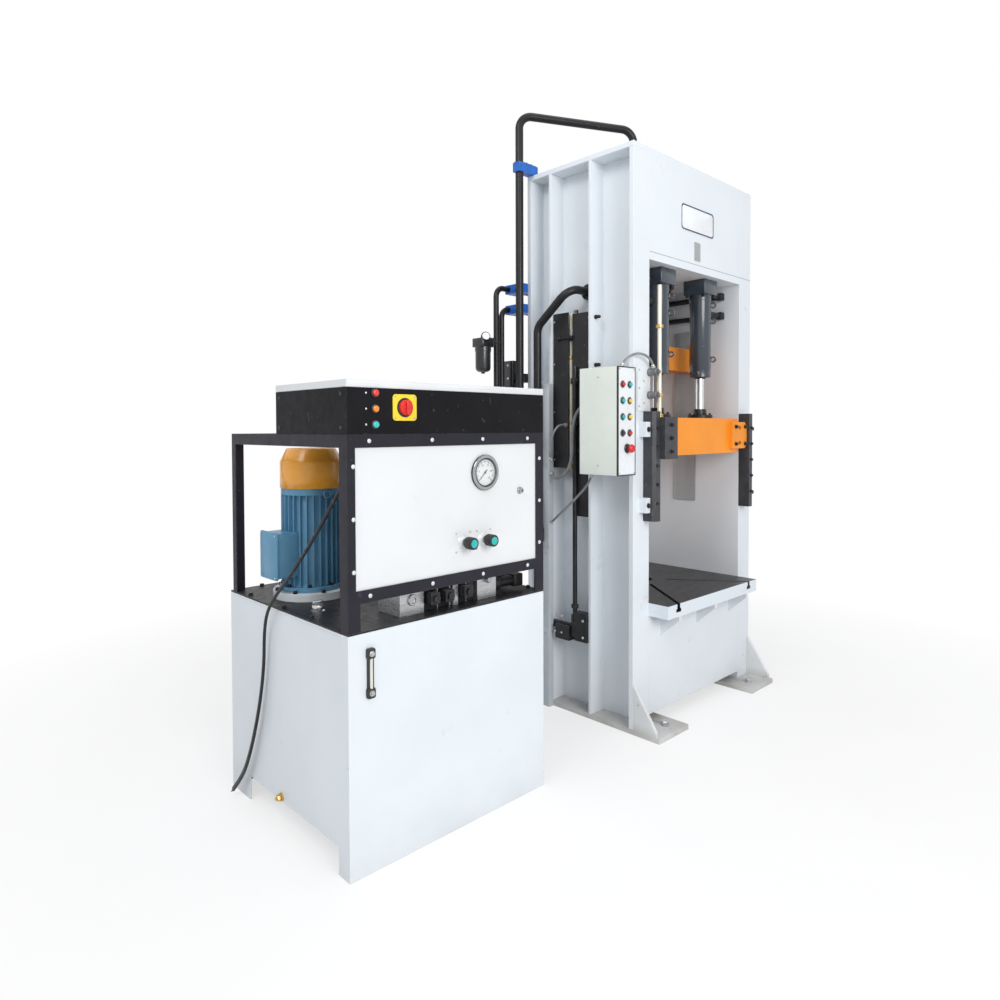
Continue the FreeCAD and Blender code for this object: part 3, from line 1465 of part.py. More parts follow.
# ---------------------------------------------------------------- free cords
# Each route is chosen by hand, in the machine's own axes.
CORDS = {
    "dog_switch_conduit": (s.thin_conduit_radius, [
        (-561, 80, 1481), (-590, 84, 1486), (-622, 92, 1474), (-642, 102, 1440),
        (-645, 112, 1396), (-632, 122, 1354), (-608, 134, 1322), (-597, 156, 1306)]),
    "station_conduit": (s.conduit_radius, [
        (-635, -128, 1586), (-635, -78, 1576), (-635, -32, 1520), (-635, -18, 1430),
        (-635, -20, 1335), (-636, 2, 1262), (-637, 46, 1220), (-632, 94, 1208),
        (-614, 130, 1218), (-597, 155, 1230)]),
    "earth_conduit": (s.thin_conduit_radius, [
        (-635, -145, 1243), (-634, -133, 1208), (-632, -96, 1168), (-630, -48, 1124),
        (-630, 8, 1076), (-629, 62, 1033), (-622, 104, 1002), (-609, 134, 984),
        (-597, 156, 974)]),
    "switch_conduit": (s.thin_conduit_radius, [
        (-655, -338, 1752), (-650, -346, 1780), (-620, -362, 1804), (-582, -372, 1816),
        (-540, -377, 1814), (-498, -378, 1802), (-466, -377, 1779), (-456, -376, 1754)]),
    "power_lead": (s.lead_radius, [
        (-2113, -357, 1316), (-2118, -322, 1298), (-2128, -278, 1246), (-2142, -222, 1164),
        (-2155, -156, 1080), (-2165, -82, 1000), (-2170, 2, 922), (-2172, 84, 856),
        (-2172, 146, 788), (-2169, 174, 706), (-2166, 184, 590), (-2167, 210, 462),
        (-2170, 250, 330), (-2172, 302, 205), (-2174, 366, 96), (-2180, 440, 22)]),
}


def flat_cords():
    """Solid routes of the loose cords, six-sided so that they stay light."""
    for name, (radius, points) in CORDS.items():
        keep(pipe(f"{name}_route", points, radius, s.cord_sides), name)


flat_cords()
doc.recompute()


def check_and_write():
    """Refuse a failed object, then write each sub-part."""
    for item in doc.Objects:
        bad = {"Invalid", "Error"} & set(item.State)
        if bad:
            raise SystemExit(f"{item.Name} failed: {item.State}")
    os.makedirs("parts", exist_ok=True)
    for item in nodes:
        if item.Shape.isNull() or not item.Shape.isValid() or not item.Shape.Solids:
            raise SystemExit(f"{item.Label} has no valid solid")
    for item in nodes:
        item.Shape.exportStep(f"parts/{item.Label}.step")
    print(len(nodes), "sub-parts written")


check_and_write()
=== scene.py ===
"""Deep-drawing press with its power pack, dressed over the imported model.

The frame's centre on the floor is the origin: X to the press's right, Y to its rear, Z up,
in metres.
"""
import math

import bpy
import numpy as np
from mathutils import Matrix, Vector


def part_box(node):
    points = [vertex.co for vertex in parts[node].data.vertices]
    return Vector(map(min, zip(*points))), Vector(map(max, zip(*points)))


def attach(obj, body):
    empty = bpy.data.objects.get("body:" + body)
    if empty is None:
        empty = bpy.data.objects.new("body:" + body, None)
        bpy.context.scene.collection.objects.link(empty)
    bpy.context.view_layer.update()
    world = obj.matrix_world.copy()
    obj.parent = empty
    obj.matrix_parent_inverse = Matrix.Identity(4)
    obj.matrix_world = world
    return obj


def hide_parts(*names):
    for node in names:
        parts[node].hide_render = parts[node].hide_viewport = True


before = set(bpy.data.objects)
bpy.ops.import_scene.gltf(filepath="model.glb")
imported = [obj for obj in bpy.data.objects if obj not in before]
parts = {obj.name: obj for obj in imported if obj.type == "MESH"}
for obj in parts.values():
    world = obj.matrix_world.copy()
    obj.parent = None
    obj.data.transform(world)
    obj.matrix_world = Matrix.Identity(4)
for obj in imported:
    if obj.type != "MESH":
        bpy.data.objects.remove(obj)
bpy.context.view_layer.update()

# ---------------------------------------------------------------- camera
# It stands off the pack's front left corner at chest height, nearly level, with a wide lens.
# The picture's centre lies a little under the lens axis.
yaw, pitch, roll = -0.765, 0.0245, -0.003
ahead = Vector((
    -math.sin(yaw) * math.cos(pitch), math.cos(yaw) * math.cos(pitch), -math.sin(pitch)))
level = Vector((math.cos(yaw), math.sin(yaw), 0))
above = level.cross(ahead)
across = math.cos(roll) * level + math.sin(roll) * above
upright = math.cos(roll) * above - math.sin(roll) * level
camera = bpy.data.objects.new("camera", bpy.data.cameras.new("camera"))
bpy.context.scene.collection.objects.link(camera)
camera.matrix_world = Matrix.Translation((-3.3453, -2.3213, 1.467)) @ Matrix(
    (across, upright, -ahead)).transposed().to_4x4()
camera.data.lens = 25.474
camera.data.shift_y = -0.0545
camera.data.clip_end = 60
bpy.context.scene.camera = camera

# ---------------------------------------------------------------- loose cords
# Four grey conduits, spiral-ribbed steel under a plastic skin, loop from the switches and
# the push-button box into the trunking. The black mains lead runs down the tank to its
# bare cores. Each is fixed by a ribbed gland nut.


def feed(tree, thing, inputs):
    """Gives a node's inputs their numbers and colours, or the outputs that they are linked to."""
    for key, value in inputs.items():
        if isinstance(value, bpy.types.NodeSocket):
            tree.links.new(value, thing.inputs[key])
        else:
            thing.inputs[key].default_value = value


def shade_node(tree, kind, inputs, out=0, **settings):
    """A new shader node with its settings and inputs; gives back one of its outputs."""
    thing = tree.nodes.new("ShaderNode" + kind)
    for key, value in settings.items():
        setattr(thing, key, value)
    feed(tree, thing, inputs)
    return thing.outputs[out]


def blend(tree, amount, first, second):
    """The first tone where the amount is none, the second where it is one."""
    first, second = ((*tone, 1) if isinstance(tone, tuple) else tone for tone in (first, second))
    return shade_node(tree, "Mix", {"Factor": amount, 6: first, 7: second}, 2, data_type="RGBA")


def ranged(tree, value, *limits):
    """A value's share of the way from low to high, carried over to the way between two others."""
    return shade_node(tree, "MapRange", {0: value, **dict(enumerate(limits, 1))})


def worked(tree, kind, first, second=0.0):
    """One arithmetic node between two outputs or numbers."""
    return shade_node(tree, "Math", {0: first, 1: second}, operation=kind)


def with_nodes(owner):
    """The node tree of a new material or world."""
    owner.use_nodes = True
    return owner.node_tree


def object_place(tree):
    """The place on the piece itself, which no camera or pose changes."""
    return shade_node(tree, "TexCoord", {}, "Object")


def finish(name, colour, rough=0.4, metal=0.0, mottle=0.06, patch=5.0, bump=0.03, grain=380.0,
           worn=None, share=0.25, stretch=(1, 1, 1), edge=None, coat=0.0, gloss=0.35):
    """A surface of two close tones in a cloudy noise, with a fine grain, worn spots and edges."""
    material = bpy.data.materials.new(name)
    tree = with_nodes(material)
    place = shade_node(tree, "Mapping", {"Scale": stretch, "Vector": object_place(tree)})

    def cloud(size, detail, *limits):
        fac = shade_node(tree, "TexNoise", {"Vector": place, "Scale": size, "Detail": detail})
        return ranged(tree, fac, *limits) if limits else fac

    deep, light = (tuple(min(1.0, tone * level) for tone in colour)
        for level in (1 - mottle, 1 + mottle))
    tone = blend(tree, cloud(patch, 6, 0.35, 0.65, 0, 1), deep, light)
    if worn:
        flecks = cloud(patch * 5, 9, 0.72 - share * 0.3, 0.78 - share * 0.3, 0, 1)
        tone = blend(tree, flecks, tone, worn)
    if edge:
        rounded = shade_node(tree, "Bevel", {"Radius": 0.0025}, samples=3)
        flat = shade_node(tree, "NewGeometry", {}, "Normal")
        turn = shade_node(tree, "VectorMath", {0: rounded, 1: flat}, "Value", operation="DOT_PRODUCT")
        rubbed = worked(tree, "MULTIPLY", ranged(tree, turn, 0.97, 0.8, 0, 1),
            cloud(60, 4, 0.42, 0.62, 0.15, 1))
        tone = blend(tree, rubbed, tone, edge)
    feed(tree, tree.nodes["Principled BSDF"], {"Metallic": metal, "Coat Weight": coat,
        "Coat Roughness": 0.2, "Specular IOR Level": gloss, "Base Color": tone,
        "Roughness": cloud(patch * 3, 5, 0.3, 0.7, max(0.03, rough - 0.07), rough + 0.07),
        "Normal": shade_node(tree, "Bump", {"Strength": min(1.0, bump * 10), "Distance": 0.0006,
        "Height": cloud(grain, 3)})})
    return material


def in_scene(name, data):
    """A new object of the scene that holds a mesh, a curve, a lamp or a camera."""
    thing = bpy.data.objects.new(name, data)
    bpy.context.scene.collection.objects.link(thing)
    return thing


def made(name, grids, material, body="press_frame", over=None, sharp=35, ends=True,
         missing=None):
    """One mesh from grids of points, each a closed section carried along: (rows, columns, 3).

    Neighbours on the grid make the faces, but for the missing ones, and both ends are capped.
    It rides on its body and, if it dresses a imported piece, is laid over that.
    """
    points, faces, start = [], [], 0
    for grid in grids:
        rows, columns = grid.shape[:2]
        index = start + np.arange(rows * columns).reshape(rows, columns)
        after = np.roll(index, -1, 1)
        quads = np.stack([index[:-1], after[:-1], after[1:], index[1:]], -1)
        faces += quads.reshape(-1, 4).tolist() if missing is None else quads[~missing].tolist()
        if ends:
            faces += [index[0, ::-1].tolist(), index[-1].tolist()]
        points.append(grid.reshape(-1, 3))
        start += rows * columns
    mesh = bpy.data.meshes.new(name)
    mesh.from_pydata(np.concatenate(points).tolist(), [], faces)
    mesh.validate()
    mesh.polygons.foreach_set("use_smooth", np.ones(len(mesh.polygons), bool))
    mesh.set_sharp_from_angle(angle=math.radians(sharp))
    mesh.materials.append(material)
    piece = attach(in_scene(name, mesh), body)
    if over:
        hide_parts(over)
    return piece


to_left, to_right, to_front = (-1, 0, 0), (1, 0, 0), (0, -1, 0)
to_rear, upward, downward = (0, 1, 0), (0, 0, 1), (0, 0, -1)


def turned(profile, sides=40):
    """A lathe shape: (radius, height) pairs carried round the Z axis."""
    profile = np.asarray(profile, float)
    turn = np.arange(sides) * 2 * np.pi / sides
    ring = np.stack([np.cos(turn), np.sin(turn)], -1)
    flat = profile[:, None, :1] * ring[None]
    up = np.broadcast_to(profile[:, None, 1:], (len(profile), sides, 1))
    return np.concatenate([flat, up], -1)


def aimed(grid, at, toward=upward, spin=0.0):
    """A shape made along Z, turned so that Z points toward a direction, and set at a place."""
    along = np.asarray(toward, float) / np.linalg.norm(toward)
    guide = np.array([0, 0, 1.0]) if abs(along[2]) < 0.9 else np.array([0, 1.0, 0])
    first = np.cross(guide, along)
    first /= np.linalg.norm(first)
    second = np.cross(along, first)
    turn = np.array([[math.cos(spin), -math.sin(spin)], [math.sin(spin), math.cos(spin)]])
    flat = grid[..., :2] @ turn.T
    return (np.asarray(at, float) + flat[..., :1] * first + flat[..., 1:] * second + grid[..., 2:]
        * along)


def lathe(profile, at, toward=upward, sides=40):
    """A turned profile set at a place, with its axis toward a direction."""
    return aimed(turned(profile, sides), at, toward)


def swept(path, radius, sides=16):
    """A round section carried along a path: at each point radius times (cos a, sin a) across it."""
    path = np.asarray(path, float)
    along = np.gradient(path, axis=0)
    along /= np.linalg.norm(along, axis=1)[:, None]
    first = np.empty_like(path)
    side = np.cross(along[0], [0.31, 0.55, 0.77])
    for step, heading in enumerate(along):
        side = side - heading * side.dot(heading)
        side /= np.linalg.norm(side)
        first[step] = side
    second = np.cross(along, first)
    turn = np.arange(sides) * 2 * np.pi / sides
    ring = (np.cos(turn)[None, :, None] * first[:, None] + np.sin(turn)[None, :, None]
        * second[:, None])
    return path[:, None] + ring * np.broadcast_to(radius, len(path))[:, None, None]


def spaced(path, step):
    """The path's points, set out again at an even step."""
    run = np.concatenate([[0], np.cumsum(np.linalg.norm(np.diff(path, axis=0), axis=1))])
    marks = np.linspace(0, run[-1], max(3, round(run[-1] / step) + 1))
    return np.stack([np.interp(marks, run, path[:, axis]) for axis in range(3)], -1), marks


def curve_of(name, points, thick=0.0):
    """A NURBS spline of order 3 with the route's points as its control points."""
    curve = bpy.data.curves.new(name, "CURVE")
    curve.dimensions = "3D"
    curve.resolution_u = 16
    curve.bevel_depth = thick
    curve.bevel_resolution = 5
    curve.use_fill_caps = True
    spline = curve.splines.new("NURBS")
    spline.points.add(len(points) - 1)
    spline.points.foreach_set("co", np.c_[points, np.ones(len(points))].ravel())
    spline.order_u = 3
    spline.use_endpoint_u = True
    return in_scene(name, curve)


def line_of(points):
    """The points of the route's spline, read from the curve itself."""
    guide = curve_of("guide", points)
    bpy.context.view_layer.update()
    mesh = bpy.data.meshes.new_from_object(guide)
    line = np.empty(len(mesh.vertices) * 3)
    mesh.vertices.foreach_get("co", line)
    bpy.data.objects.remove(guide)
    bpy.data.meshes.remove(mesh)
    return line.reshape(-1, 3)


def gland(radius):
    """A cable gland: hexagon nut, then a fluted dome that closes on the cord."""
    nut = turned([(radius * 1.75, 0), (radius * 1.9, 0.0006), (radius * 1.9, 0.0065),
        (radius * 1.75, 0.007)], 6)
    dome = turned([(radius * 1.45, 0.007), (radius * 1.5, 0.0075), (radius * 1.48, 0.013),
        (radius * 1.25, 0.0165), (radius * 1.04, 0.018), (radius * 0.9, 0.018)], 24)
    return [nut, dome]


conduit_skin = finish("conduit_skin", (0.22, 0.23, 0.24), 0.42, mottle=0.12, patch=22, bump=0.04,
    worn=(0.42, 0.43, 0.44), share=0.2)
gland_nickel = finish("gland_nickel", (0.55, 0.55, 0.53), 0.28, 0.9, mottle=0.1, patch=40)
gland_black = finish("gland_black", (0.03, 0.03, 0.032), 0.45, mottle=0.2, patch=60, bump=0.05)
lead_sheath = finish("lead_sheath", (0.016, 0.016, 0.018), 0.38, mottle=0.25, patch=14,
    worn=(0.1, 0.1, 0.105), share=0.15)
core_copper = finish("core_copper", (0.62, 0.27, 0.13), 0.35, 0.9, mottle=0.15, patch=90)

conduit_routes = {
    "dog_switch_conduit": (0.006, 0.262, [
        (-0.561, 0.08, 1.481), (-0.59, 0.084, 1.486), (-0.622, 0.092, 1.474),
        (-0.642, 0.102, 1.44), (-0.645, 0.112, 1.396), (-0.632, 0.122, 1.354),
        (-0.608, 0.134, 1.322), (-0.597, 0.156, 1.306)]),
    "station_conduit": (0.008, 0.562, [
        (-0.635, -0.128, 1.586), (-0.635, -0.078, 1.576), (-0.635, -0.032, 1.52),
        (-0.635, -0.018, 1.43), (-0.635, -0.02, 1.335), (-0.636, 0.002, 1.262),
        (-0.637, 0.046, 1.22), (-0.632, 0.094, 1.208), (-0.614, 0.13, 1.218),
        (-0.597, 0.155, 1.23)]),
    "earth_conduit": (0.006, 0.415, [
        (-0.635, -0.145, 1.243), (-0.634, -0.133, 1.208), (-0.632, -0.096, 1.168),
        (-0.63, -0.048, 1.124), (-0.63, 0.008, 1.076), (-0.629, 0.062, 1.033),
        (-0.622, 0.104, 1.002), (-0.609, 0.134, 0.984), (-0.597, 0.156, 0.974)]),
    "switch_conduit": (0.006, 0.261, [
        (-0.655, -0.338, 1.752), (-0.65, -0.346, 1.78), (-0.62, -0.362, 1.804),
        (-0.582, -0.372, 1.816), (-0.54, -0.377, 1.814), (-0.498, -0.378, 1.802),
        (-0.466, -0.377, 1.779), (-0.456, -0.376, 1.754)]),
}
for name, (radius, length, points) in conduit_routes.items():
    line, marks = spaced(line_of(points), 0.0011)
    # ribs of a spiral wrap: the radius swells and dips once every four steps
    ribs = radius * (0.965 + 0.035 * np.cos(marks / 0.0044 * 2 * np.pi))
    cord = made(name + "_skin", [swept(line, ribs, 14)], conduit_skin)
    nuts = made(name + "_glands", [aimed(shape, end, toward)
        for end, toward in ((line[0], line[6] - line[0]), (line[-1], line[-7] - line[-1]))
        for shape in gland(radius)], gland_nickel)
    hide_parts(name)

lead_radius = 0.006
lead_points = [
    (-2.113, -0.357, 1.316), (-2.118, -0.322, 1.298), (-2.128, -0.278, 1.246),
    (-2.142, -0.222, 1.164), (-2.155, -0.156, 1.08), (-2.165, -0.082, 1.0),
    (-2.17, 0.002, 0.922), (-2.172, 0.084, 0.856), (-2.172, 0.146, 0.788),
    (-2.169, 0.174, 0.706), (-2.166, 0.184, 0.59), (-2.167, 0.21, 0.462),
    (-2.17, 0.25, 0.33), (-2.172, 0.302, 0.205), (-2.174, 0.366, 0.096),
    (-2.18, 0.44, 0.022)]
lead = curve_of("mains_lead", lead_points, lead_radius)
lead.data.materials.append(lead_sheath)
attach(lead, "press_frame")
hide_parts("power_lead")
# three stripped cores fan out a little from the sheath's end
lead_end = np.array(lead_points[-1])
lead_way = lead_end - np.array(lead_points[-2])
lead_way /= np.linalg.norm(lead_way)
fan_out = [np.array([0.0024, 0.0006, 0.0008]), np.array([-0.0022, 0.0012, 0.0004]),
    np.array([0.0002, -0.0012, 0.002])]
core_lines = [lead_end + np.outer(np.linspace(-0.012, 0.012, 9), lead_way)
    + np.outer(np.linspace(0.6, 1.5, 9), spread) for spread in fan_out]
core_skins = made("lead_cores", [swept(line, 0.0017, 10) for line in core_lines],
    finish("core_skin", (0.3, 0.06, 0.05), 0.4, mottle=0.3, patch=120))
core_tips = made("lead_core_tips", [swept(line[-4:] + lead_way * 0.004, 0.0011, 8)
    for line in core_lines], core_copper)
lead_gland = made("lead_gland", [aimed(shape, lead_points[0],
    np.subtract(lead_points[1], lead_points[0])) for shape in gland(lead_radius)], gland_black)
# from half-way down a second strand lies against the first, as the flat twin lead parts
lead_line, _ = spaced(line_of(lead_points), 0.008)
half = len(lead_line) // 2
beside = np.linspace(0, 1, len(lead_line) - half)[:, None] ** 0.4 * [[0.004, 0.0105, 0.003]]
twin = made("lead_twin_strand", [swept(lead_line[half:] + beside, lead_radius * 0.93, 14)],
    lead_sheath)

# ---------------------------------------------------------------- welded press frame
# Two columns, the bed, the crown and the feet are flame-cut plate, welded and sprayed in a
# cool white enamel. The plates' cut edges are dressed and the feet have gone dusty.


def dressed(names, material, soft=0.0016, steps=2):
    """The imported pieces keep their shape; their edges are eased and they get a finish."""
    for name in names:
        thing = parts[name]
        for slot_held in thing.material_slots:
            slot_held.material = material
        if soft:
            joined = thing.modifiers.new("joined", "WELD")
            joined.merge_threshold = 0.00002
            eased = thing.modifiers.new("eased", "BEVEL")
            eased.width = soft
            eased.segments = steps
            eased.limit_method = "ANGLE"
            eased.angle_limit = math.radians(40)
            eased.use_clamp_overlap = True


def tinted(material, low, high, colour, most=1.0):
    """Lays another tone over a finish: most of it at the low level, fading to none at the high."""
    tree = material.node_tree
    shader = tree.nodes["Principled BSDF"]
    place = object_place(tree)
    level = shade_node(tree, "SeparateXYZ", {0: place}, 2)
    cover = worked(tree, "MULTIPLY", ranged(tree, level, low, high, most, 0), shade_node(tree,
        "TexNoise", {"Vector": place, "Scale": 7.0, "Detail": 7}))
    under = shader.inputs["Base Color"].links[0].from_socket
    feed(tree, shader, {"Base Color": blend(tree, cover, under, colour)})
    return material


enamel_white = (0.738, 0.778, 0.815)
frame_enamel = tinted(finish("frame_enamel", enamel_white, 0.34, mottle=0.025, patch=2.2, bump=0.012,
    grain=160, worn=(0.69, 0.74, 0.79), share=0.05, edge=(0.62, 0.66, 0.7)), 0.0, 0.45,
    (0.5, 0.48, 0.45), 0.35)
foot_enamel = tinted(finish("foot_enamel", (0.7, 0.715, 0.72), 0.5, mottle=0.07, grain=220,
    worn=(0.42, 0.38, 0.34), share=0.22, edge=(0.45, 0.43, 0.41)), 0.02, 0.07, (0.36, 0.32, 0.28),
    1.0)
dressed(["left_column", "right_column", "crown", "bed"], frame_enamel)
dressed(["base_feet"], foot_enamel)


def welded(start, end, leg, pitch):
    """A fillet bead along an inside corner: a swept section that ripples once a pitch."""
    start, end = np.asarray(start, float), np.asarray(end, float)
    long = np.linalg.norm(end - start)
    steps = min(max(int(long / pitch), 3), 130)
    share = np.linspace(0, 1, steps)[:, None]
    wave = leg * (1 + 0.1 * np.cos(np.arange(steps) * np.pi))
    return swept(start + (end - start) * share, wave, 6)


wall_in, web_in, bead_low, bead_top = 0.445, 0.475, 0.26, 2.26
beads = []
for side in (-1, 1):
    for face, leg in ((-0.074, 0.005), (-0.09, 0.005), (0.175, 0.005), (0.191, 0.005),
                      (-0.32, 0.006), (0.32, 0.006)):
        beads.append(welded((side * web_in, face, bead_low), (side * web_in, face, bead_top), leg,
            0.016))
bead_paint = finish("bead_paint", enamel_white, 0.38, mottle=0.03, patch=30, bump=0.05,
    worn=(0.55, 0.6, 0.65), share=0.2)
made("frame_weld_beads", beads, bead_paint)


def hex_bolt(across_flats, tall, washer=True, socket=False):
    """A bolt head standing on z = 0: hexagon or socket cap, with a washer under it."""
    wide = across_flats / math.sqrt(3)
    shapes = []
    base = 0.0
    if washer:
        base = tall * 0.22
        shapes.append(turned([(wide * 1.12, -0.0005), (wide * 1.18, 0.0002),
            (wide * 1.18, base * 0.85), (wide * 1.12, base)], 20))
    if socket:
        shapes.append(turned([(wide * 0.9, base), (wide * 0.93, base + tall * 0.05),
            (wide * 0.93, base + tall * 0.9), (wide * 0.86, base + tall), (wide * 0.5, base + tall),
            (wide * 0.47, base + tall * 0.5), (wide * 0.02, base + tall * 0.45)], 18))
    else:
        shapes.append(turned([(wide * 0.97, base), (wide, base + tall * 0.06),
            (wide, base + tall * 0.86), (wide * 0.88, base + tall), (wide * 0.03, base + tall)], 6))
    return shapes


def spots(xs, ys, zs):
    """Every place that the three lists of distances have in common, x the slowest to change."""
    return [(x, y, z) for x in np.atleast_1d(xs) for y in np.atleast_1d(ys)
        for z in np.atleast_1d(zs)]


def ring_of(x, y, z, radius, count, start=0.0):
    """Evenly spaced places on a level circle: centre plus radius times (cos a, sin a)."""
    return [(x + radius * math.cos(a), y + radius * math.sin(a), z) for a in start + np.arange(count)
        * 2 * math.pi / count]


def bolted(name, places, material, flats=0.019, tall=0.010, toward=upward, washer=True,
           socket=False, body="press_frame"):
    """Many like bolt heads in one piece; each turned a little differently, as real ones are.
    """
    shapes = [aimed(shape, at, toward, spin=0.7 * number) for number, at in enumerate(places)
        for shape in hex_bolt(flats, tall, washer, socket)]
    return made(name, shapes, material,
        body)


bolt_black = finish("bolt_black", (0.022, 0.022, 0.024), 0.38, 0.4, mottle=0.25, patch=80, bump=0.05,
    edge=(0.16, 0.16, 0.16))
bolt_zinc = finish("bolt_zinc", (0.55, 0.56, 0.57), 0.3, 0.95, mottle=0.12, patch=60, bump=0.04,
    worn=(0.36, 0.36, 0.36), share=0.3)
# the anchor studs of the four feet, and two long bolts high in the left column's bay
bolted("anchor_bolts", spots((-0.42, 0.42), (-0.423, 0.423), 0.025), bolt_zinc, 0.03, 0.018)
bolted("column_side_bolts", spots(-0.54, -0.09, (2.021, 1.782)), bolt_black, 0.016, 0.024, to_front)


def slab(low, high, soft=0.001, corner=0.0, axis=2, sides=5):
    """A slab between two corners: its outline has round corners and both rims are eased."""
    low, high = np.asarray(low, float), np.asarray(high, float)
    order = [(axis + 1) % 3, (axis + 2) % 3, axis]
    half = (high - low)[order[:2]] / 2
    middle = (high + low)[order[:2]] / 2
    radius = max(min(corner, half.min() * 0.999), soft * 1.01)

    def outline(inset):
        turn = np.linspace(0, np.pi / 2, sides)
        arcs = [np.stack([np.cos(turn + quarter * np.pi / 2) * (radius - inset),
            np.sin(turn + quarter * np.pi / 2) * (radius - inset)], -1) + (half - radius)
            * [(1, 1), (-1, 1), (-1, -1), (1, -1)][quarter] for quarter in range(4)]
        return np.concatenate(arcs) + middle

    levels = [(soft, 0), (soft * 0.3, soft * 0.3), (0, soft)]
    levels = levels + [(inset, (high - low)[axis] - rise) for inset, rise in levels[::-1]]
    grid = np.stack([np.c_[outline(inset), np.full(4 * sides, low[axis] + rise)]
        for inset, rise in levels])
    turned_back = np.empty_like(grid)
    turned_back[..., order] = grid
    return turned_back


def plate_piece(name, low, high, material, soft=0.001, corner=0.0, axis=1):
    """One slab as a piece of its own."""
    return made(name, [slab(low, high, soft, corner, axis)], material)


# on the crown a bare sign with a thin border, and a bare data plate on two rivets
plate_bare = finish("plate_bare", (0.8, 0.82, 0.84), 0.25, mottle=0.02, patch=8, bump=0.01)
plate_alloy = finish("plate_alloy", (0.42, 0.43, 0.44), 0.35, 0.8, mottle=0.08, patch=30,
    stretch=(1, 1, 8))
plate_piece("crown_sign", (-0.166, -0.3475, 2.482), (0.151, -0.345, 2.612), plate_bare, 0.0008, 0.016)
plate_piece("crown_data_plate", (-0.038, -0.347, 2.339), (0.019, -0.345, 2.435), plate_alloy, 0.0004,
    0.003)
plate_border = finish("plate_border", (0.02, 0.03, 0.09), 0.35, mottle=0.1, patch=30)
outer = slab((-0.166, -0.3479, 2.482), (0.151, -0.3475, 2.612), 0.0001, 0.018, axis=1)[-1]
middle = outer.mean(0)
rim = [middle + (outer - middle) * grow + (0, -rise, 0) for grow, rise in (((1.0, 1.0, 1.0), 0.0),
    ((1.0, 1.0, 1.0), 0.0006), ((0.96, 1.0, 0.9), 0.0006), ((0.96, 1.0, 0.9), 0.0))]
made("crown_sign_border", [np.stack(rim)], plate_border, ends=False)
seam_grey = finish("seam_grey", (0.2, 0.22, 0.24), 0.6, mottle=0.2, patch=40)
plate_piece("crown_seam", (-0.444, -0.3456, 2.318), (0.5745, -0.3449, 2.3202), seam_grey, 0.0002,
    0.0004)
bolted("plate_rivets", spots(-0.0095, -0.347, (2.344, 2.43)), bolt_zinc, 0.004, 0.0015, to_front,
    washer=False)

# ---------------------------------------------------------------- press table
# The bolster is a thick slab of planed steel with T slots, dark with oil on top; its edges
# were masked and sprayed white with the frame. Loose gussets carry its overhang.
table_steel = tinted(finish("table_steel", (0.045, 0.046, 0.049), 0.36, 0.55, mottle=0.3, patch=9,
    bump=0.05, grain=260, worn=(0.12, 0.12, 0.125), share=0.3, stretch=(1, 9, 1),
    edge=(0.2, 0.2, 0.21)), 0.59, 0.6115, enamel_white, 0.0)
# the paint covers the outer skin only: the slots' insides and the top stay bare
tree = table_steel.node_tree
shader = tree.nodes["Principled BSDF"]
table_deep, paint_line = 0.457, 0.0012
outside = [worked(tree, "GREATER_THAN", worked(tree, "ABSOLUTE",
    shade_node(tree, "SeparateXYZ", {0: object_place(tree)}, axis)), reach - paint_line)
    for axis, reach in enumerate((wall_in, table_deep))]
facing_up = shade_node(tree, "SeparateXYZ", {0: shade_node(tree, "NewGeometry", {}, "Normal")}, 2)
flank = worked(tree, "MULTIPLY", worked(tree, "MAXIMUM", *outside),
    worked(tree, "LESS_THAN", facing_up, 0.6))
feed(tree, shader, {"Base Color": blend(tree, flank, shader.inputs["Base Color"].links[0].from_socket,
    (0.7, 0.75, 0.8)),
    "Metallic": worked(tree, "MULTIPLY", worked(tree, "SUBTRACT", 1, flank), 0.55)})
dressed(["press_table"], table_steel, 0.0012)

# ---------------------------------------------------------------- gibs, shoes and wear plates
# Cast-iron gibs and bronze-faced shoes guide the slide at its four corners; they are
# painted dark grey and held by black socket screws. Ground wear plates line the columns.
gib_grey = finish("gib_grey", (0.052, 0.054, 0.06), 0.42, 0.3, mottle=0.15, patch=16, bump=0.04,
    worn=(0.11, 0.11, 0.12), edge=(0.22, 0.22, 0.23))
wear_steel = finish("wear_steel", (0.34, 0.345, 0.35), 0.38, 0.5, mottle=0.08, patch=7, bump=0.04,
    worn=(0.25, 0.25, 0.255), share=0.15, stretch=(1, 1, 0.12))
dressed(["guide_gibs", "guide_shoes"], gib_grey, 0.0014)
dressed(["wear_plates"], wear_steel, 0.001)
bolted("gib_screws", [(side * 0.47, -0.41, z) for side in (-1, 1)
    for z in (1.105, 1.195, 1.285, 1.375, 1.465)], bolt_black, 0.014, 0.007, to_front, socket=True)
bolted("clamp_block_bolts", [(side * 0.5115, -0.387, z) for side in (-1, 1) for z in (1.096, 1.459)],
    bolt_black, 0.019, 0.012, to_front)
bolted("wear_plate_screws", [(side * 0.4335, y, z) for side in (-1, 1) for y in (-0.045, 0.045)
    for z in (1.12, 1.36, 1.6, 1.84)], bolt_black, 0.01, 0.0015, upward, washer=False)

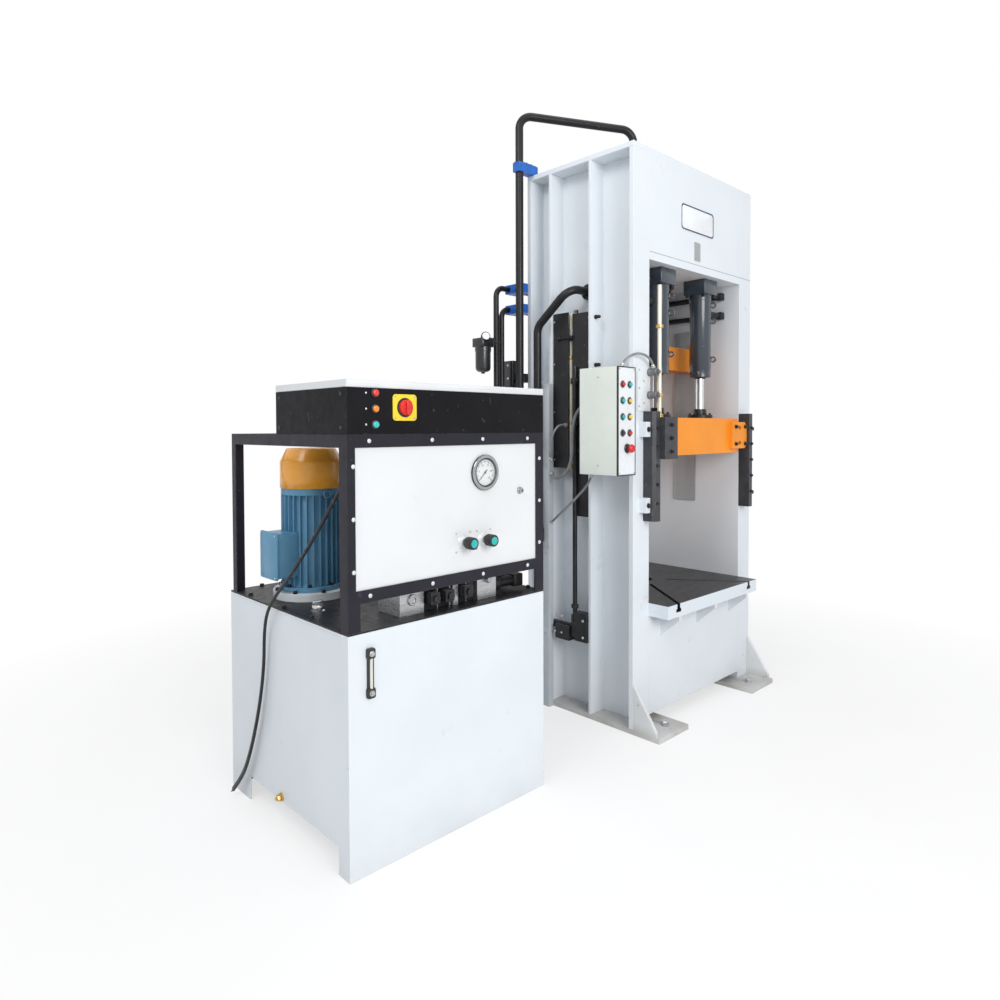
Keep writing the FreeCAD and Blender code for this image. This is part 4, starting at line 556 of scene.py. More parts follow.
# ---------------------------------------------------------------- slide and crosshead
# Both moving beams are welded plate boxes, machined where the cylinders sit and sprayed
# signal orange. The slide's right end carries bolted bracket plates with two slots.
slide_orange = finish("slide_orange", (0.86, 0.285, 0.018), 0.36, mottle=0.05, patch=4, bump=0.012,
    grain=170, worn=(0.72, 0.21, 0.02), share=0.12, edge=(0.62, 0.2, 0.03), gloss=0.3)
dressed(["slide", "crosshead"], slide_orange, 0.002)
slide_front = 0.375
# the dark brown sheets in the bracket plates' slots are painted shade: a darkened orange where the
# slide lies in shadow behind each slot
slot_shadow = finish("slot_shadow", (0.05, 0.022, 0.01), 0.5, mottle=0.3, patch=30)
slot_shade_sheets = []
for side in (-1, 1):
    for up in (1.3815, 1.4655):
        face = side * (slide_front + 0.0101)
        slot_shade_sheets.append(slab((0.354, min(face, face + side * 0.0006), up - 0.009),
            (0.382, max(face, face + side * 0.0006), up + 0.009), 0.0001, 0.0088, axis=1))
made("bracket_slot_painted_shade", slot_shade_sheets, slot_shadow, "slide_body")
for name, xs, deep, zs, flats, tall in (
        ("bracket_bolts", (0.318, 0.422), 0.395, (1.376, 1.471), 0.017, 0.01),
        ("shoe_screws", -0.391, 0.437, (1.352, 1.4165, 1.481), 0.016, 0.009)):
    for ending, face, toward in (("", -deep, to_front), ("_rear", deep, to_rear)):
        bolted(name + ending, spots(xs, face, zs), bolt_black, flats, tall, toward, socket=True,
            body="slide_body")
# a turned sleeve just outside the many-sided boss under the crosshead
made("punch_boss_turned", [lathe([(0.094, 0), (0.0985, 0.0015), (0.1003, 0.004), (0.1003, 0.0295)],
    (0, 0, 1.767), sides=96)], slide_orange, "punch_body")

# ---------------------------------------------------------------- main cylinder and ram
# One honed barrel hangs from the crown; below its flange the screwed gland and wiper ring
# show. The ram is hard-chromed bar with a bolted seat on the crosshead.
barrel_paint = finish("barrel_paint", (0.04, 0.052, 0.068), 0.2, 0.0, mottle=0.1, patch=6, bump=0.012,
    worn=(0.07, 0.085, 0.1), share=0.12, edge=(0.15, 0.16, 0.17), coat=0.5)
chrome = finish("chrome", (0.72, 0.73, 0.74), 0.09, 1.0, mottle=0.05, patch=3, bump=0.006, grain=600,
    stretch=(1, 1, 0.2), worn=(0.58, 0.59, 0.6), share=0.12)
made("main_cylinder_turned", [turned([(0.0765, 2.122), (0.08, 2.12), (0.1125, 2.12), (0.115, 2.1225),
    (0.115, 2.15), (0.1135, 2.152), (0.1135, 2.158), (0.115, 2.16), (0.115, 2.236), (0.118, 2.24),
    (0.167, 2.24), (0.17, 2.243), (0.17, 2.2795), (0.124, 2.2798), (0.124, 2.737), (0.121, 2.74),
    (0.085, 2.74), (0.0765, 2.7)], 96)], barrel_paint, over="main_cylinder")
bolted("cylinder_flange_bolts", ring_of(0, 0, 2.24, 0.146, 12, 0.26), bolt_black, 0.019, 0.013,
    downward, socket=True)
made("ram_wiper", [turned([(0.0752, 2.1195), (0.0752, 2.113), (0.079, 2.112), (0.083, 2.114),
    (0.084, 2.1199)], 96)], finish("wiper_seal", (0.1, 0.012, 0.012), 0.45, mottle=0.15, patch=40))
made("main_ram_turned", [turned([(0.1, 1.93), (0.1085, 1.93), (0.11, 1.9315), (0.11, 1.9535),
    (0.1085, 1.955), (0.079, 1.955), (0.0752, 1.9565), (0.075, 1.962), (0.075, 2.445),
    (0.0844, 2.446), (0.0844, 2.506), (0.07, 2.506)], 96)], chrome, "punch_body",
    over="main_ram")
bolted("ram_seat_bolts", ring_of(0, 0, 1.955, 0.097, 8, 0.39), bolt_black, 0.014, 0.009, socket=True,
    body="punch_body", washer=False)

# ---------------------------------------------------------------- blank-holder cylinders
# Four glossy dark barrels are bolted by square heads under the crown; their chromed rods
# end in round feet screwed to the slide. Ring-shaped oil ports stand out of each barrel.
holder_places = [(x, y) for x in (-0.21, 0.21) for y in (-0.235, 0.235)]
barrels = []
for x, y in holder_places:
    barrels.append(slab((x - 0.0675, y - 0.0675, 2.201), (x + 0.0675, y + 0.0675, 2.2797), 0.002,
        0.006))
    barrels.append(lathe([(0.0235, 1.748), (0.026, 1.745), (0.0555, 1.745), (0.0583, 1.7478),
        (0.0583, 1.776), (0.0573, 1.7775), (0.0573, 1.781), (0.0583, 1.7825), (0.0583, 2.168),
        (0.06, 2.17), (0.06, 2.203), (0.0595, 2.205)], (x, y, 0), sides=64))
made("holder_cylinders_turned", barrels, barrel_paint, over="holder_cylinders")
bolted("holder_head_bolts", [(x + i * 0.052, y + j * 0.052, 2.201) for x, y in holder_places
    for i in (-1, 1) for j in (-1, 1)], bolt_black, 0.016, 0.012, downward, socket=True, washer=False)
# a wiper ring under each barrel, and three oil port rings on its front right
wipers = [lathe([(0.0227, 1.7449), (0.0227, 1.739), (0.027, 1.7385), (0.03, 1.74), (0.031, 1.7449)],
    (x, y, 0), sides=48) for x, y in holder_places]
made("holder_wipers", wipers, gland_black)


def bent_ring(centre, first, second, thick, points=33):
    """Round bar bent to a ring: centre plus first times cos a plus second times sin a."""
    turn = np.linspace(0, 2 * np.pi, points)[:, None]
    return swept(centre + first * np.cos(turn) + second * np.sin(turn), thick, 10)


outward, ring_half = np.array([0.58, -0.81, 0]), 0.0125
made("holder_port_rings", [bent_ring((x, y, z) + outward * 0.07, outward * ring_half,
    np.array([0, 0, ring_half]), 0.0048) for x, y in holder_places for z in (2.146, 2.059, 1.846)],
    barrel_paint)
rods, feet = [], []
for x, y in holder_places:
    rods.append(lathe([(0.0225, 1.56), (0.0225, 2.095), (0.0444, 2.096), (0.0444, 2.14),
        (0.03, 2.14)], (x, y, 0), sides=48))
    feet.append(lathe([(0.06, 1.517), (0.0665, 1.517), (0.068, 1.5185), (0.068, 1.536),
        (0.0665, 1.5375), (0.04, 1.5385), (0.036, 1.541), (0.0345, 1.566), (0.033, 1.57),
        (0.0228, 1.57)], (x, y, 0), sides=64))
made("holder_rods_turned", rods, chrome, "slide_body", over="holder_rods")
foot_black = finish("foot_black", (0.028, 0.029, 0.031), 0.34, 0.5, mottle=0.2, patch=30,
    edge=(0.2, 0.2, 0.2))
made("holder_rod_feet", feet, foot_black, "slide_body")
bolted("holder_foot_bolts", [at for x, y in holder_places for at in ring_of(x, y, 1.537, 0.054, 6)],
    bolt_black, 0.012, 0.01, socket=True, washer=False, body="slide_body")

# ---------------------------------------------------------------- trip rods and switches
# Plated bars with screwed brass collars ride with the slide and the punch and trip limit
# switches on a white plate. A black rod in brackets runs down the left bay to a foot.
rod_zinc = finish("rod_zinc", (0.74, 0.69, 0.54), 0.28, 0.35, mottle=0.08, patch=9, bump=0.02,
    stretch=(1, 1, 0.15), worn=(0.4, 0.37, 0.3), share=0.15)
brass = finish("brass", (0.6, 0.38, 0.13), 0.28, 0.9, mottle=0.12, patch=35, worn=(0.35, 0.23, 0.1))


def collar_at(x, y, low, tall=0.016, radius=0.018, bore=0.01):
    """A turned ring with eased rims and a set-screw groove."""
    return lathe([(bore, low), (radius - 0.0015, low), (radius, low + 0.0015),
        (radius, low + tall * 0.42), (radius - 0.0007, low + tall * 0.46),
        (radius - 0.0007, low + tall * 0.54), (radius, low + tall * 0.58),
        (radius, low + tall - 0.0015), (radius - 0.0015, low + tall), (bore, low + tall)], (x, y, 0),
        sides=32)


def bar_at(x, y, low, top, radius):
    """A plain bar with chamfered ends."""
    return lathe([(radius * 0.8, low), (radius, low + radius * 0.25), (radius, top - radius * 0.25),
        (radius * 0.8, top)], (x, y, 0), sides=28)


made("slide_dog_turned", [bar_at(-0.417, -0.385, 1.51, 2.155, 0.01)], rod_zinc,
    "slide_body", over="slide_dog_rod")
made("slide_dog_collars", [collar_at(-0.417, -0.385, low) for low in (1.517, 1.616, 1.947)], brass,
    "slide_body")
punch_x, punch_y = -0.533, 0.074
arm_rear = 0.109
arm_pieces = [slab((punch_x - 0.018, punch_y - 0.024, 1.942), (punch_x + 0.018, arm_rear, 1.972),
    0.0015, 0.004), slab((punch_x + 0.004, 0.079, 1.9453), (-0.33, arm_rear, 1.969), 0.0012, 0.003),
    slab((-0.378, 0.02, 1.9302), (-0.33, arm_rear, 1.9462), 0.0012, 0.003)]
made("punch_dog_arm", arm_pieces, finish("arm_steel", (0.33, 0.33, 0.32), 0.35, 0.7, mottle=0.14,
    patch=20, bump=0.04, worn=(0.2, 0.2, 0.2), share=0.3), "punch_body")
made("punch_dog_turned", [bar_at(punch_x, punch_y, 1.277, 2.055, 0.01),
    bar_at(punch_x, punch_y, 1.277, 1.823, 0.0135)], rod_zinc, "punch_body",
    over="punch_dog_rod")
clamp_pin = [(0.001, 0), (0.0055, 0.001), (0.0055, 0.087), (0.001, 0.088)]
clamp_knob = [(0.001, 0), (0.008, 0.001), (0.0098, 0.005), (0.0098, 0.013), (0.008, 0.017),
    (0.001, 0.018)]
clamp_arms = [collar_at(punch_x, punch_y, 1.915, 0.03, 0.0215)] + [
    lathe(profile, (-0.5665, at_y, 1.93), to_rear, 28) for at_y, profile in ((0.04, clamp_pin),
    (0.0345, clamp_knob), (0.118, clamp_knob))]
made("punch_dog_clamp", clamp_arms, foot_black, "punch_body")
made("punch_dog_collars", [collar_at(punch_x, punch_y, 1.823),
    collar_at(punch_x, punch_y, 1.255, 0.022)], brass, "punch_body")
bolted("arm_bolts", [(-0.354, 0.045, 1.9462), (-0.354, 0.092, 1.969), (punch_x, 0.095, 1.972)],
    bolt_black, 0.013, 0.008, body="punch_body", socket=True)

switch_white = finish("switch_white", (0.72, 0.75, 0.76), 0.38, mottle=0.03, patch=14, bump=0.02,
    worn=(0.6, 0.62, 0.64), share=0.12)
switch_plate = plate_piece("switch_plate", (-0.55, -0.351, 1.546), (-0.445, -0.345, 1.764),
    switch_white, 0.0006, 0.006)
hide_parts("limit_switches")
switch_grey = finish("switch_grey", (0.17, 0.175, 0.18), 0.42, 0.2, mottle=0.12, patch=40, bump=0.04,
    edge=(0.3, 0.3, 0.3))
heads, rollers = [], []
for up in (1.734, 1.624):
    heads.append(lathe([(0.012, 0), (0.019, 0.001), (0.0195, 0.003), (0.0195, 0.012), (0.018, 0.014),
        (0.0165, 0.015), (0.0165, 0.04), (0.0178, 0.042), (0.0178, 0.048), (0.0165, 0.05),
        (0.0125, 0.0505), (0.0115, 0.046), (0.001, 0.046)], (-0.455, -0.351, up), to_front, 40))
    # knurled cap: its radius rises and falls round the turn
    knob = turned([(0.006, 0), (0.0085, 0.001), (0.0085, 0.01), (0.007, 0.012), (0.001, 0.0125)], 48)
    ripple = 1 + 0.04 * np.cos(np.arange(48) * np.pi)
    knob[1:3, :, :2] *= ripple[None, :, None]
    heads.append(aimed(knob, (-0.455, -0.401, up), to_front))
    rollers += [lathe([(0.002, -0.003), (0.0055, -0.003), (0.006, -0.0025), (0.006, 0.0025),
        (0.0055, 0.003), (0.002, 0.003)], (-0.4375, -0.385, up), to_rear, 24),
        slab((-0.443, -0.388, up - 0.0022), (-0.4355, -0.382, up + 0.0022), 0.0006, 0.001)]
made("switch_heads", heads, switch_grey)
made("switch_rollers", rollers, bolt_zinc)
bolted("switch_plate_screws", spots(-0.538, -0.351, (1.57, 1.655, 1.742))
    + spots(-0.5, -0.351, (1.585, 1.69)), gland_nickel, 0.009, 0.004, to_front, washer=False)

guard_black = finish("guard_black", (0.02, 0.02, 0.022), 0.55, 0.1, mottle=0.2, patch=6, bump=0.05,
    worn=(0.06, 0.06, 0.062), share=0.2, edge=(0.14, 0.14, 0.14))
dressed(["rod_guards"], guard_black, 0.0008)
dressed(["switch_rod"], foot_black, 0.0015)
made("switch_rod_turned", [bar_at(-0.5708, 0.017, 0.5255, 1.779, 0.0118)], foot_black)
made("switch_rod_collars", [collar_at(-0.5708, 0.017, low, 0.018, 0.019, 0.0117)
    for low in (0.545, 1.48, 1.7)], guard_black)
bolted("bracket_foot_bolts", spots(-0.5955, (-0.056, 0.083, 0.128), (0.41, 0.495)), bolt_zinc, 0.01,
    0.005, to_left)
bolted("guard_screws", spots(-0.559, (-0.066, 0.165), (1.3, 1.55, 1.8, 2.02)), bolt_zinc, 0.009,
    0.004, to_left, washer=False)

duct_grey = finish("duct_grey", (0.5, 0.54, 0.57), 0.42, mottle=0.04, patch=6, bump=0.02,
    worn=(0.38, 0.41, 0.44), share=0.14)
dressed(["wiring_duct"], duct_grey, 0.002)
lid_lines = [slab((-0.6102, 0.1615, low), (-0.6086, 0.2135, low + 0.402), 0.0006, 0.002, axis=0)
    for low in (0.012, 0.432, 0.852, 1.272)]
made("duct_lids", lid_lines, duct_grey)

# ---------------------------------------------------------------- push-button station
# A folded steel box on the left column, pale at its side, with a white front on a black
# gasket. Eight moulded caps stand in bare bezels, the stop mushroom below them.
station_side = finish("station_side", (0.79, 0.83, 0.77), 0.42, mottle=0.03, patch=7, bump=0.02,
    worn=(0.7, 0.74, 0.69), share=0.12, edge=(0.34, 0.36, 0.34))
cover_white = finish("cover_white", (0.76, 0.79, 0.81), 0.32, mottle=0.03, patch=9, bump=0.012,
    worn=(0.6, 0.63, 0.65), share=0.08)
dressed(["button_station"], station_side, 0.0025)
dressed(["station_cover"], cover_white, 0.0012)
# the gasket: a thin black frame that stands out round the cover's back
left, right, low, top = -0.7108, -0.5742, 1.2442, 1.7508
gasket = np.stack([np.array([(left + inset, face, low + inset), (right - inset, face, low + inset),
    (right - inset, face, top - inset), (left + inset, face, top - inset)])
    for inset, face in ((0.0, -0.35), (0.0, -0.3575), (0.0008, -0.3583), (0.005, -0.3583),
    (0.0056, -0.3565))])
made("station_gasket", [gasket], gland_black, sharp=30, ends=False)
bolted("station_side_screws", spots(-0.71, -0.243, (1.29, 1.705)), gland_nickel, 0.008, 0.003,
    to_left, washer=False)
cover_face = -0.357
bolted("station_cover_screws", spots((-0.699, -0.586), cover_face, (1.256, 1.738)), gland_nickel,
    0.007, 0.0025, to_front, washer=False)
cap_red, cap_teal, cap_yellow, cap_black = (
    finish("cap_" + word, colour, rough, mottle=mottle, patch=40, bump=0.01, grain=900, edge=edge,
           coat=0.2)
    for word, colour, rough, mottle, edge in (
        ("red", (0.62, 0.02, 0.022), 0.3, 0.08, (0.75, 0.12, 0.1)),
        ("teal", (0.02, 0.46, 0.44), 0.3, 0.08, (0.15, 0.6, 0.58)),
        ("yellow", (0.83, 0.6, 0.03), 0.3, 0.08, (0.9, 0.75, 0.2)),
        ("black", (0.025, 0.025, 0.027), 0.32, 0.15, (0.12, 0.12, 0.12))))
button_caps = {("left", 1): cap_red, ("right", 1): cap_teal, ("left", 2): cap_teal,
               ("right", 2): cap_yellow, ("left", 3): cap_teal, ("right", 3): cap_yellow,
               ("left", 4): cap_black, ("right", 4): cap_red}
bezels, collars = [], []
for (word, row), paint in button_caps.items():
    node = f"button_{word}_{row}"
    low_corner, high_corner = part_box(node)
    x, z = (low_corner[0] + high_corner[0]) / 2, (low_corner[2] + high_corner[2]) / 2
    front, back = low_corner[1], high_corner[1]
    depth = back - front
    made(node + "_cap", [lathe([(0.008, 0), (0.0088, 0), (0.0089, depth - 0.0028),
        (0.0083, depth - 0.001), (0.0068, depth - 0.0002), (0.005, depth - 0.0006),
        (0.0008, depth - 0.0011)], (x, back, z), to_front, 36)], paint,
        node + "_body", over=node)
    bezels.append(lathe([(0.0095, -0.0003), (0.0148, -0.0003), (0.015, 0.001), (0.0142, 0.003),
        (0.0125, 0.0042), (0.0105, 0.0044), (0.0096, 0.0036), (0.0093, 0.001)], (x, cover_face, z),
        to_front, 40))
    collars.append(lathe([(0.0152, -0.0003), (0.019, -0.0003), (0.0192, 0.0004), (0.0188, 0.001),
        (0.0152, 0.0011)], (x, cover_face, z), to_front, 40))
made("button_bezels", bezels, gland_black)
made("button_collars", collars, plate_alloy)
stop_x, stop_z = -0.641, 1.371
made("stop_button_cap", [lathe([(0.0075, 0), (0.008, 0.0005), (0.008, 0.028), (0.011, 0.029),
    (0.0185, 0.0292), (0.0199, 0.031), (0.0199, 0.0345), (0.0188, 0.0385), (0.0155, 0.0425),
    (0.01, 0.0444), (0.001, 0.0449)], (stop_x, -0.35, stop_z), to_front, 48)], cap_red,
    "stop_body", over="stop_button")
made("stop_collar", [lathe([(0.0085, -0.0003), (0.0215, -0.0003), (0.0222, 0.0006), (0.0222, 0.003),
    (0.0195, 0.0062), (0.015, 0.0075), (0.0095, 0.0078), (0.0085, 0.005)],
    (stop_x, cover_face, stop_z), to_front, 48)], cap_black)

# ---------------------------------------------------------------- oil tank
# A welded sheet tank, sprayed the frame's white, stands on its own folded skirt. A black
# lid plate with a wing-nut breather, a sight glass and a brass drain plug are fitted to it.
tank_enamel = tinted(finish("tank_enamel", (0.72, 0.765, 0.8), 0.36, mottle=0.025, patch=3.0,
    bump=0.015, grain=140, worn=(0.66, 0.7, 0.73), share=0.06, edge=(0.55, 0.57, 0.59)), 0.0, 0.22,
    (0.46, 0.45, 0.43), 0.4)
dressed(["oil_tank"], tank_enamel, 0.0022)
lid_black = finish("lid_black", (0.018, 0.018, 0.021), 0.42, gloss=0.2, mottle=0.25, patch=12,
    bump=0.04, worn=(0.08, 0.08, 0.085), share=0.22, edge=(0.18, 0.18, 0.18))
dressed(["tank_top_plate"], lid_black, 0.0012)
tank_left, tank_right, tank_front, tank_rear = -2.145, -1.227, -0.369, 0.523
lid_top = 0.808
lid_bead = [welded((tank_left - 0.0005, tank_front + 0.03, 0.7985),
    (tank_left - 0.0005, tank_rear - 0.03, 0.7985), 0.003, 0.012)]
made("tank_lid_bead", lid_bead, bead_paint)
level_x, level_low, level_tall, level_end = -2.065, 0.587, 0.164, 0.034
made("level_gauge_ends", [slab((level_x - 0.015, tank_front - 0.0142, low),
    (level_x + 0.015, tank_front + 0.0005, low + level_end), 0.0015, 0.006, axis=1)
    for low in (level_low, level_low + level_tall - level_end)] + [
    slab((level_x - 0.0115, tank_front - 0.009, level_low + 0.02), (level_x + 0.0115,
    tank_front + 0.0005, level_low + level_tall - 0.02), 0.001, 0.002, axis=1)], gland_black,
    over="tank_fittings")
tube_glass = finish("tube_glass", (0.66, 0.66, 0.6), 0.12, mottle=0.05, patch=30, bump=0.006,
    coat=0.6)
made("level_gauge_tube", [bar_at(level_x, tank_front - 0.01, level_low + level_end - 0.002,
    level_low + level_tall - level_end + 0.002, 0.0052)], tube_glass)
bolted("level_gauge_screws", spots(level_x, tank_front - 0.0142,
    (level_low + 0.017, level_low + level_tall - 0.017)), gland_nickel, 0.014, 0.006, to_front)
made("drain_plug_turned", [aimed(shape, (tank_left, 0.095, 0.112), to_left)
    for shape in (turned([(0.0125, -0.0005), (0.015, 0.0003), (0.015, 0.007), (0.0125, 0.0078)], 28),
    turned([(0.0105, 0.0078), (0.0112, 0.0085), (0.0112, 0.0185), (0.01, 0.02), (0.001, 0.02)], 6),
    turned([(0.005, 0.0198), (0.0058, 0.0205), (0.0058, 0.025), (0.005, 0.0258), (0.0006, 0.0258)],
    20))], brass)
breather_at = (-2.062, -0.033, 0)
breather_steel = finish("breather_steel", (0.62, 0.63, 0.64), 0.22, 0.95, mottle=0.08, patch=30,
    bump=0.02, worn=(0.42, 0.43, 0.44), share=0.2)
wing = slab((-0.0205, -0.0028, 0.834), (0.0205, 0.0028, 0.848), 0.001, 0.0055, axis=1)
made("breather_cap_turned", [aimed(shape, breather_at) for shape in (turned([(0.0235, 0.8075),
    (0.025, 0.8083), (0.025, 0.812), (0.0215, 0.8135), (0.019, 0.8155), (0.019, 0.82),
    (0.0218, 0.8215), (0.022, 0.829), (0.0205, 0.833), (0.012, 0.835), (0.001, 0.8352)], 48), wing)],
    breather_steel)
bolted("lid_plate_bolts", spots((-2.125, -2.02, -1.86, -1.7, -1.54, -1.4, -1.25), 0.505, lid_top)
    + spots(-2.125, (-0.3, -0.1, 0.1, 0.38), lid_top)
    + spots(-1.247, (-0.3, -0.1, 0.1, 0.3, 0.44), lid_top), bolt_black, 0.015, 0.008)

# ---------------------------------------------------------------- pack frame and instrument panel
# Folded angle posts and rails, sprayed dark blue-black, carry the control box and hold a
# white panel from behind with dome screws. The panel takes a gauge and two valve knobs.
frame_dark = finish("frame_dark", (0.02, 0.019, 0.027), 0.42, gloss=0.18, mottle=0.14, patch=7,
    bump=0.02, grain=200, worn=(0.055, 0.054, 0.066), share=0.2, edge=(0.1, 0.1, 0.12))
dressed(["pack_frame"], frame_dark, 0.0016)
panel_white = finish("panel_white", (0.735, 0.745, 0.75), 0.34, mottle=0.02, patch=4, bump=0.01,
    worn=(0.66, 0.68, 0.69), share=0.08)
dressed(["control_panel"], panel_white, 0)


def domes(name, places, material, radius=0.0075, tall=0.0035, toward=to_front):
    """Dome-head screws with a cross recess, many in one piece."""
    shapes = []
    for number, at in enumerate(places):
        turn = np.linspace(0, np.pi / 2 * 0.93, 6)
        shapes.append(aimed(turned(np.c_[radius * np.cos(turn), tall * np.sin(turn)], 18), at, toward,
            spin=0.5 * number))
        for angle in (0.4 * number, 0.4 * number + math.pi / 2):
            bar_low, bar_high = (-radius * 0.42, -radius * 0.09), (radius * 0.42, radius * 0.09)
            cross = slab((*bar_low, tall * 0.8), (*bar_high, tall * 1.005), 0.00015, 0.0002)
            shapes.append(aimed(cross, at, toward, spin=angle))
    return made(name, shapes, material)


screw_white = finish("screw_white", (0.66, 0.67, 0.68), 0.35, 0.2, mottle=0.08, patch=60,
    worn=(0.4, 0.4, 0.4))
rail_x = (-2.06, -1.8, -1.56, -1.32)
rail_screws = spots(rail_x, tank_front, 1.4265)
rail_screws += spots(rail_x, tank_front, 0.921)
rail_screws += spots((-2.121, -1.251), tank_front, (1.345, 1.175, 1.005))
domes("panel_dome_screws", rail_screws, screw_white)

gauge_x, gauge_seat, gauge_z = -1.548, -0.363, 1.301
rim_steel = finish("rim_steel", (0.4, 0.41, 0.42), 0.16, 1.0, patch=20, bump=0.01,
    worn=(0.45, 0.46, 0.47), share=0.15)
made("gauge_case_turned", [lathe([(0.048, -0.036), (0.048, 0.006), (0.0655, 0.006), (0.066, 0.0065),
    (0.066, 0.0095), (0.0645, 0.0118), (0.06, 0.0128), (0.0545, 0.0122), (0.052, 0.01),
    (0.0512, 0.0045), (0.05, 0.0042), (0.0002, 0.0042)], (gauge_x, gauge_seat, gauge_z), to_front,
    72)], rim_steel, over="pressure_gauge")
dial_white = finish("dial_white", (0.8, 0.81, 0.8), 0.45, mottle=0.02, patch=30, bump=0.004)
dial_face = -0.3676
made("gauge_dial", [lathe([(0.0505, -0.0006), (0.0505, 0.0), (0.0498, 0.0003), (0.0004, 0.0004)],
    (gauge_x, dial_face + 0.0004, gauge_z), to_front, 64)], dial_white)
ink_black = finish("ink_black", (0.03, 0.03, 0.03), 0.5, mottle=0.2, patch=60)
marks = []
for step in range(51):
    angle = math.radians(225 - 270 * step / 50)
    big = step % 5 == 0
    inner, outer, wide = (0.036 if big else 0.0395), 0.0445, (0.0011 if big else 0.0005)
    mark = slab((inner, -wide, -0.0002), (outer, wide, 0.0001), 0.00004, 0.0001)
    turn = np.array([[math.cos(angle), -math.sin(angle)], [math.sin(angle), math.cos(angle)]])
    mark[..., :2] = mark[..., :2] @ turn.T
    flat = np.stack([mark[..., 0], -mark[..., 2], mark[..., 1]], -1)
    marks.append(flat + (gauge_x, dial_face - 0.0001, gauge_z))
made("gauge_marks", marks, ink_black)


def lettering(name, words, size, at, material):
    """Plain figures, made a mesh, then turned upright to face the front and set in place."""
    text = bpy.data.curves.new(name, "FONT")
    text.body = words
    text.size = size
    text.align_x = "CENTER"
    text.align_y = "CENTER"
    text.extrude = 0.0001
    text.resolution_u = 4
    held = in_scene(name + "_text", text)
    bpy.context.view_layer.update()
    mesh = bpy.data.meshes.new_from_object(held)
    bpy.data.objects.remove(held)
    mesh.transform(Matrix.Translation(at) @ Matrix.Rotation(math.pi / 2, 4, "X"))
    mesh.materials.clear()
    mesh.materials.append(material)
    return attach(in_scene(name, mesh), "press_frame")


for step, words in enumerate(("0", "5", "10", "15", "20", "25")):
    angle = math.radians(225 - 54 * step)
    lettering(f"gauge_figure_{step}", words, 0.0115, (gauge_x + 0.0295 * math.cos(angle),
        dial_face - 0.0002, gauge_z + 0.0295 * math.sin(angle)), ink_black)
pointer_way = np.array([-1, 0, -1]) / math.sqrt(2)
hub_at = np.array([gauge_x, -0.369, gauge_z])
needle_path = hub_at + np.outer(np.linspace(-0.013, 0.0385, 8), pointer_way)
needle_grid = swept(needle_path, np.linspace(0.0022, 0.0008, 8), 8)
made("gauge_pointer", [needle_grid, lathe([(0.0045, 0.0), (0.005, 0.0005), (0.0045, 0.0016),
    (0.0008, 0.0019)], hub_at + (0, 0.0012, 0), to_front, 28)], ink_black,
    "needle_body", over="gauge_needle")
lens_glass = bpy.data.materials.new("gauge_lens")
tree = with_nodes(lens_glass)
smear = shade_node(tree, "TexNoise", {"Vector": object_place(tree), "Scale": 12})
feed(tree, tree.nodes["Principled BSDF"], {"Alpha": 0.1,
    "Roughness": shade_node(tree, "MapRange", {0: smear, 3: 0.03, 4: 0.09}),
    "Base Color": blend(tree, smear, (0.7, 0.74, 0.76), (0.78, 0.81, 0.82))})
made("gauge_lens", [lathe([(0.0525, 0.0), (0.0525, 0.0011), (0.04, 0.0016), (0.02, 0.0019),
    (0.0006, 0.002)], (gauge_x, -0.3722, gauge_z), to_front, 64)], lens_glass)

made("gauge_rim_lines", [lathe(profile, (gauge_x, gauge_seat, gauge_z), to_front, 64)
    for profile in ([(0.05, 0.009), (0.05, 0.0112), (0.0512, 0.0118), (0.053, 0.0124), (0.053, 0.009),
    (0.05, 0.009)], [(0.0655, 0.003), (0.0668, 0.0032), (0.0668, 0.0088), (0.0655, 0.009),
    (0.0655, 0.003)])], ink_black, ends=False)
knob_black = finish("knob_black", (0.022, 0.022, 0.024), 0.4, mottle=0.2, patch=50,
    edge=(0.12, 0.12, 0.12))
knob_collars, screw_places = [], []
knob_seat, knob_z, panel_face = -0.387, 1.05, -0.36
for word, x in (("left", -1.653), ("right", -1.553)):
    grip = turned([(0.018, 0.0002), (0.0215, 0.0008), (0.0222, 0.004), (0.0222, 0.034),
        (0.021, 0.0368), (0.0165, 0.0378), (0.015, 0.037), (0.0006, 0.0368)], 120)
    ripple = 1 + 0.018 * np.cos(np.arange(120) * 2 * np.pi / 120 * 30)
    grip[1:5, :, :2] *= ripple[None, :, None]
    shaft = turned([(0.0078, -0.045), (0.0078, 0.0005)], 32)
    made(f"{word}_knob_turned", [aimed(shape, (x, knob_seat, knob_z), to_front)
        for shape in (grip, shaft)], knob_black, f"{word}_knob_body",
        over=f"{word}_knob")
    made(f"{word}_knob_cap", [lathe([(0.0145, 0.0), (0.0148, 0.0008), (0.012, 0.0018),
        (0.0006, 0.0021)], (x, knob_seat - 0.0368, knob_z), to_front, 32)], cap_teal,
        f"{word}_knob_body")
    knob_collars.append(lathe([(0.0088, -0.0002), (0.0265, -0.0002), (0.0275, 0.0008),
        (0.027, 0.0035), (0.019, 0.009), (0.015, 0.014), (0.0088, 0.0145)], (x, panel_face, knob_z),
        to_front, 48))
    screw_places += [(x + i * 0.034, panel_face, knob_z + j * 0.034) for i in (-1, 1)
        for j in (-1, 1)]
made("knob_bases", knob_collars, screw_white)
bolted("knob_base_screws", screw_places, bolt_black, 0.007, 0.003, to_front, washer=False,
    socket=True)
port = [lathe([(0.0135, 0.0), (0.0145, 0.0008), (0.0145, 0.006), (0.011, 0.0075), (0.0095, 0.008),
    (0.0095, 0.018), (0.008, 0.0195), (0.004, 0.0198), (0.0035, 0.012), (0.0005, 0.0115)],
    (-1.36, panel_face, 1.222), to_front, 32)]
made("test_port", port, rim_steel)
plate_piece("panel_strip", (-1.64, -0.3612, 1.15), (-1.47, -0.3598, 1.172), plate_bare, 0.0003, 0.002)

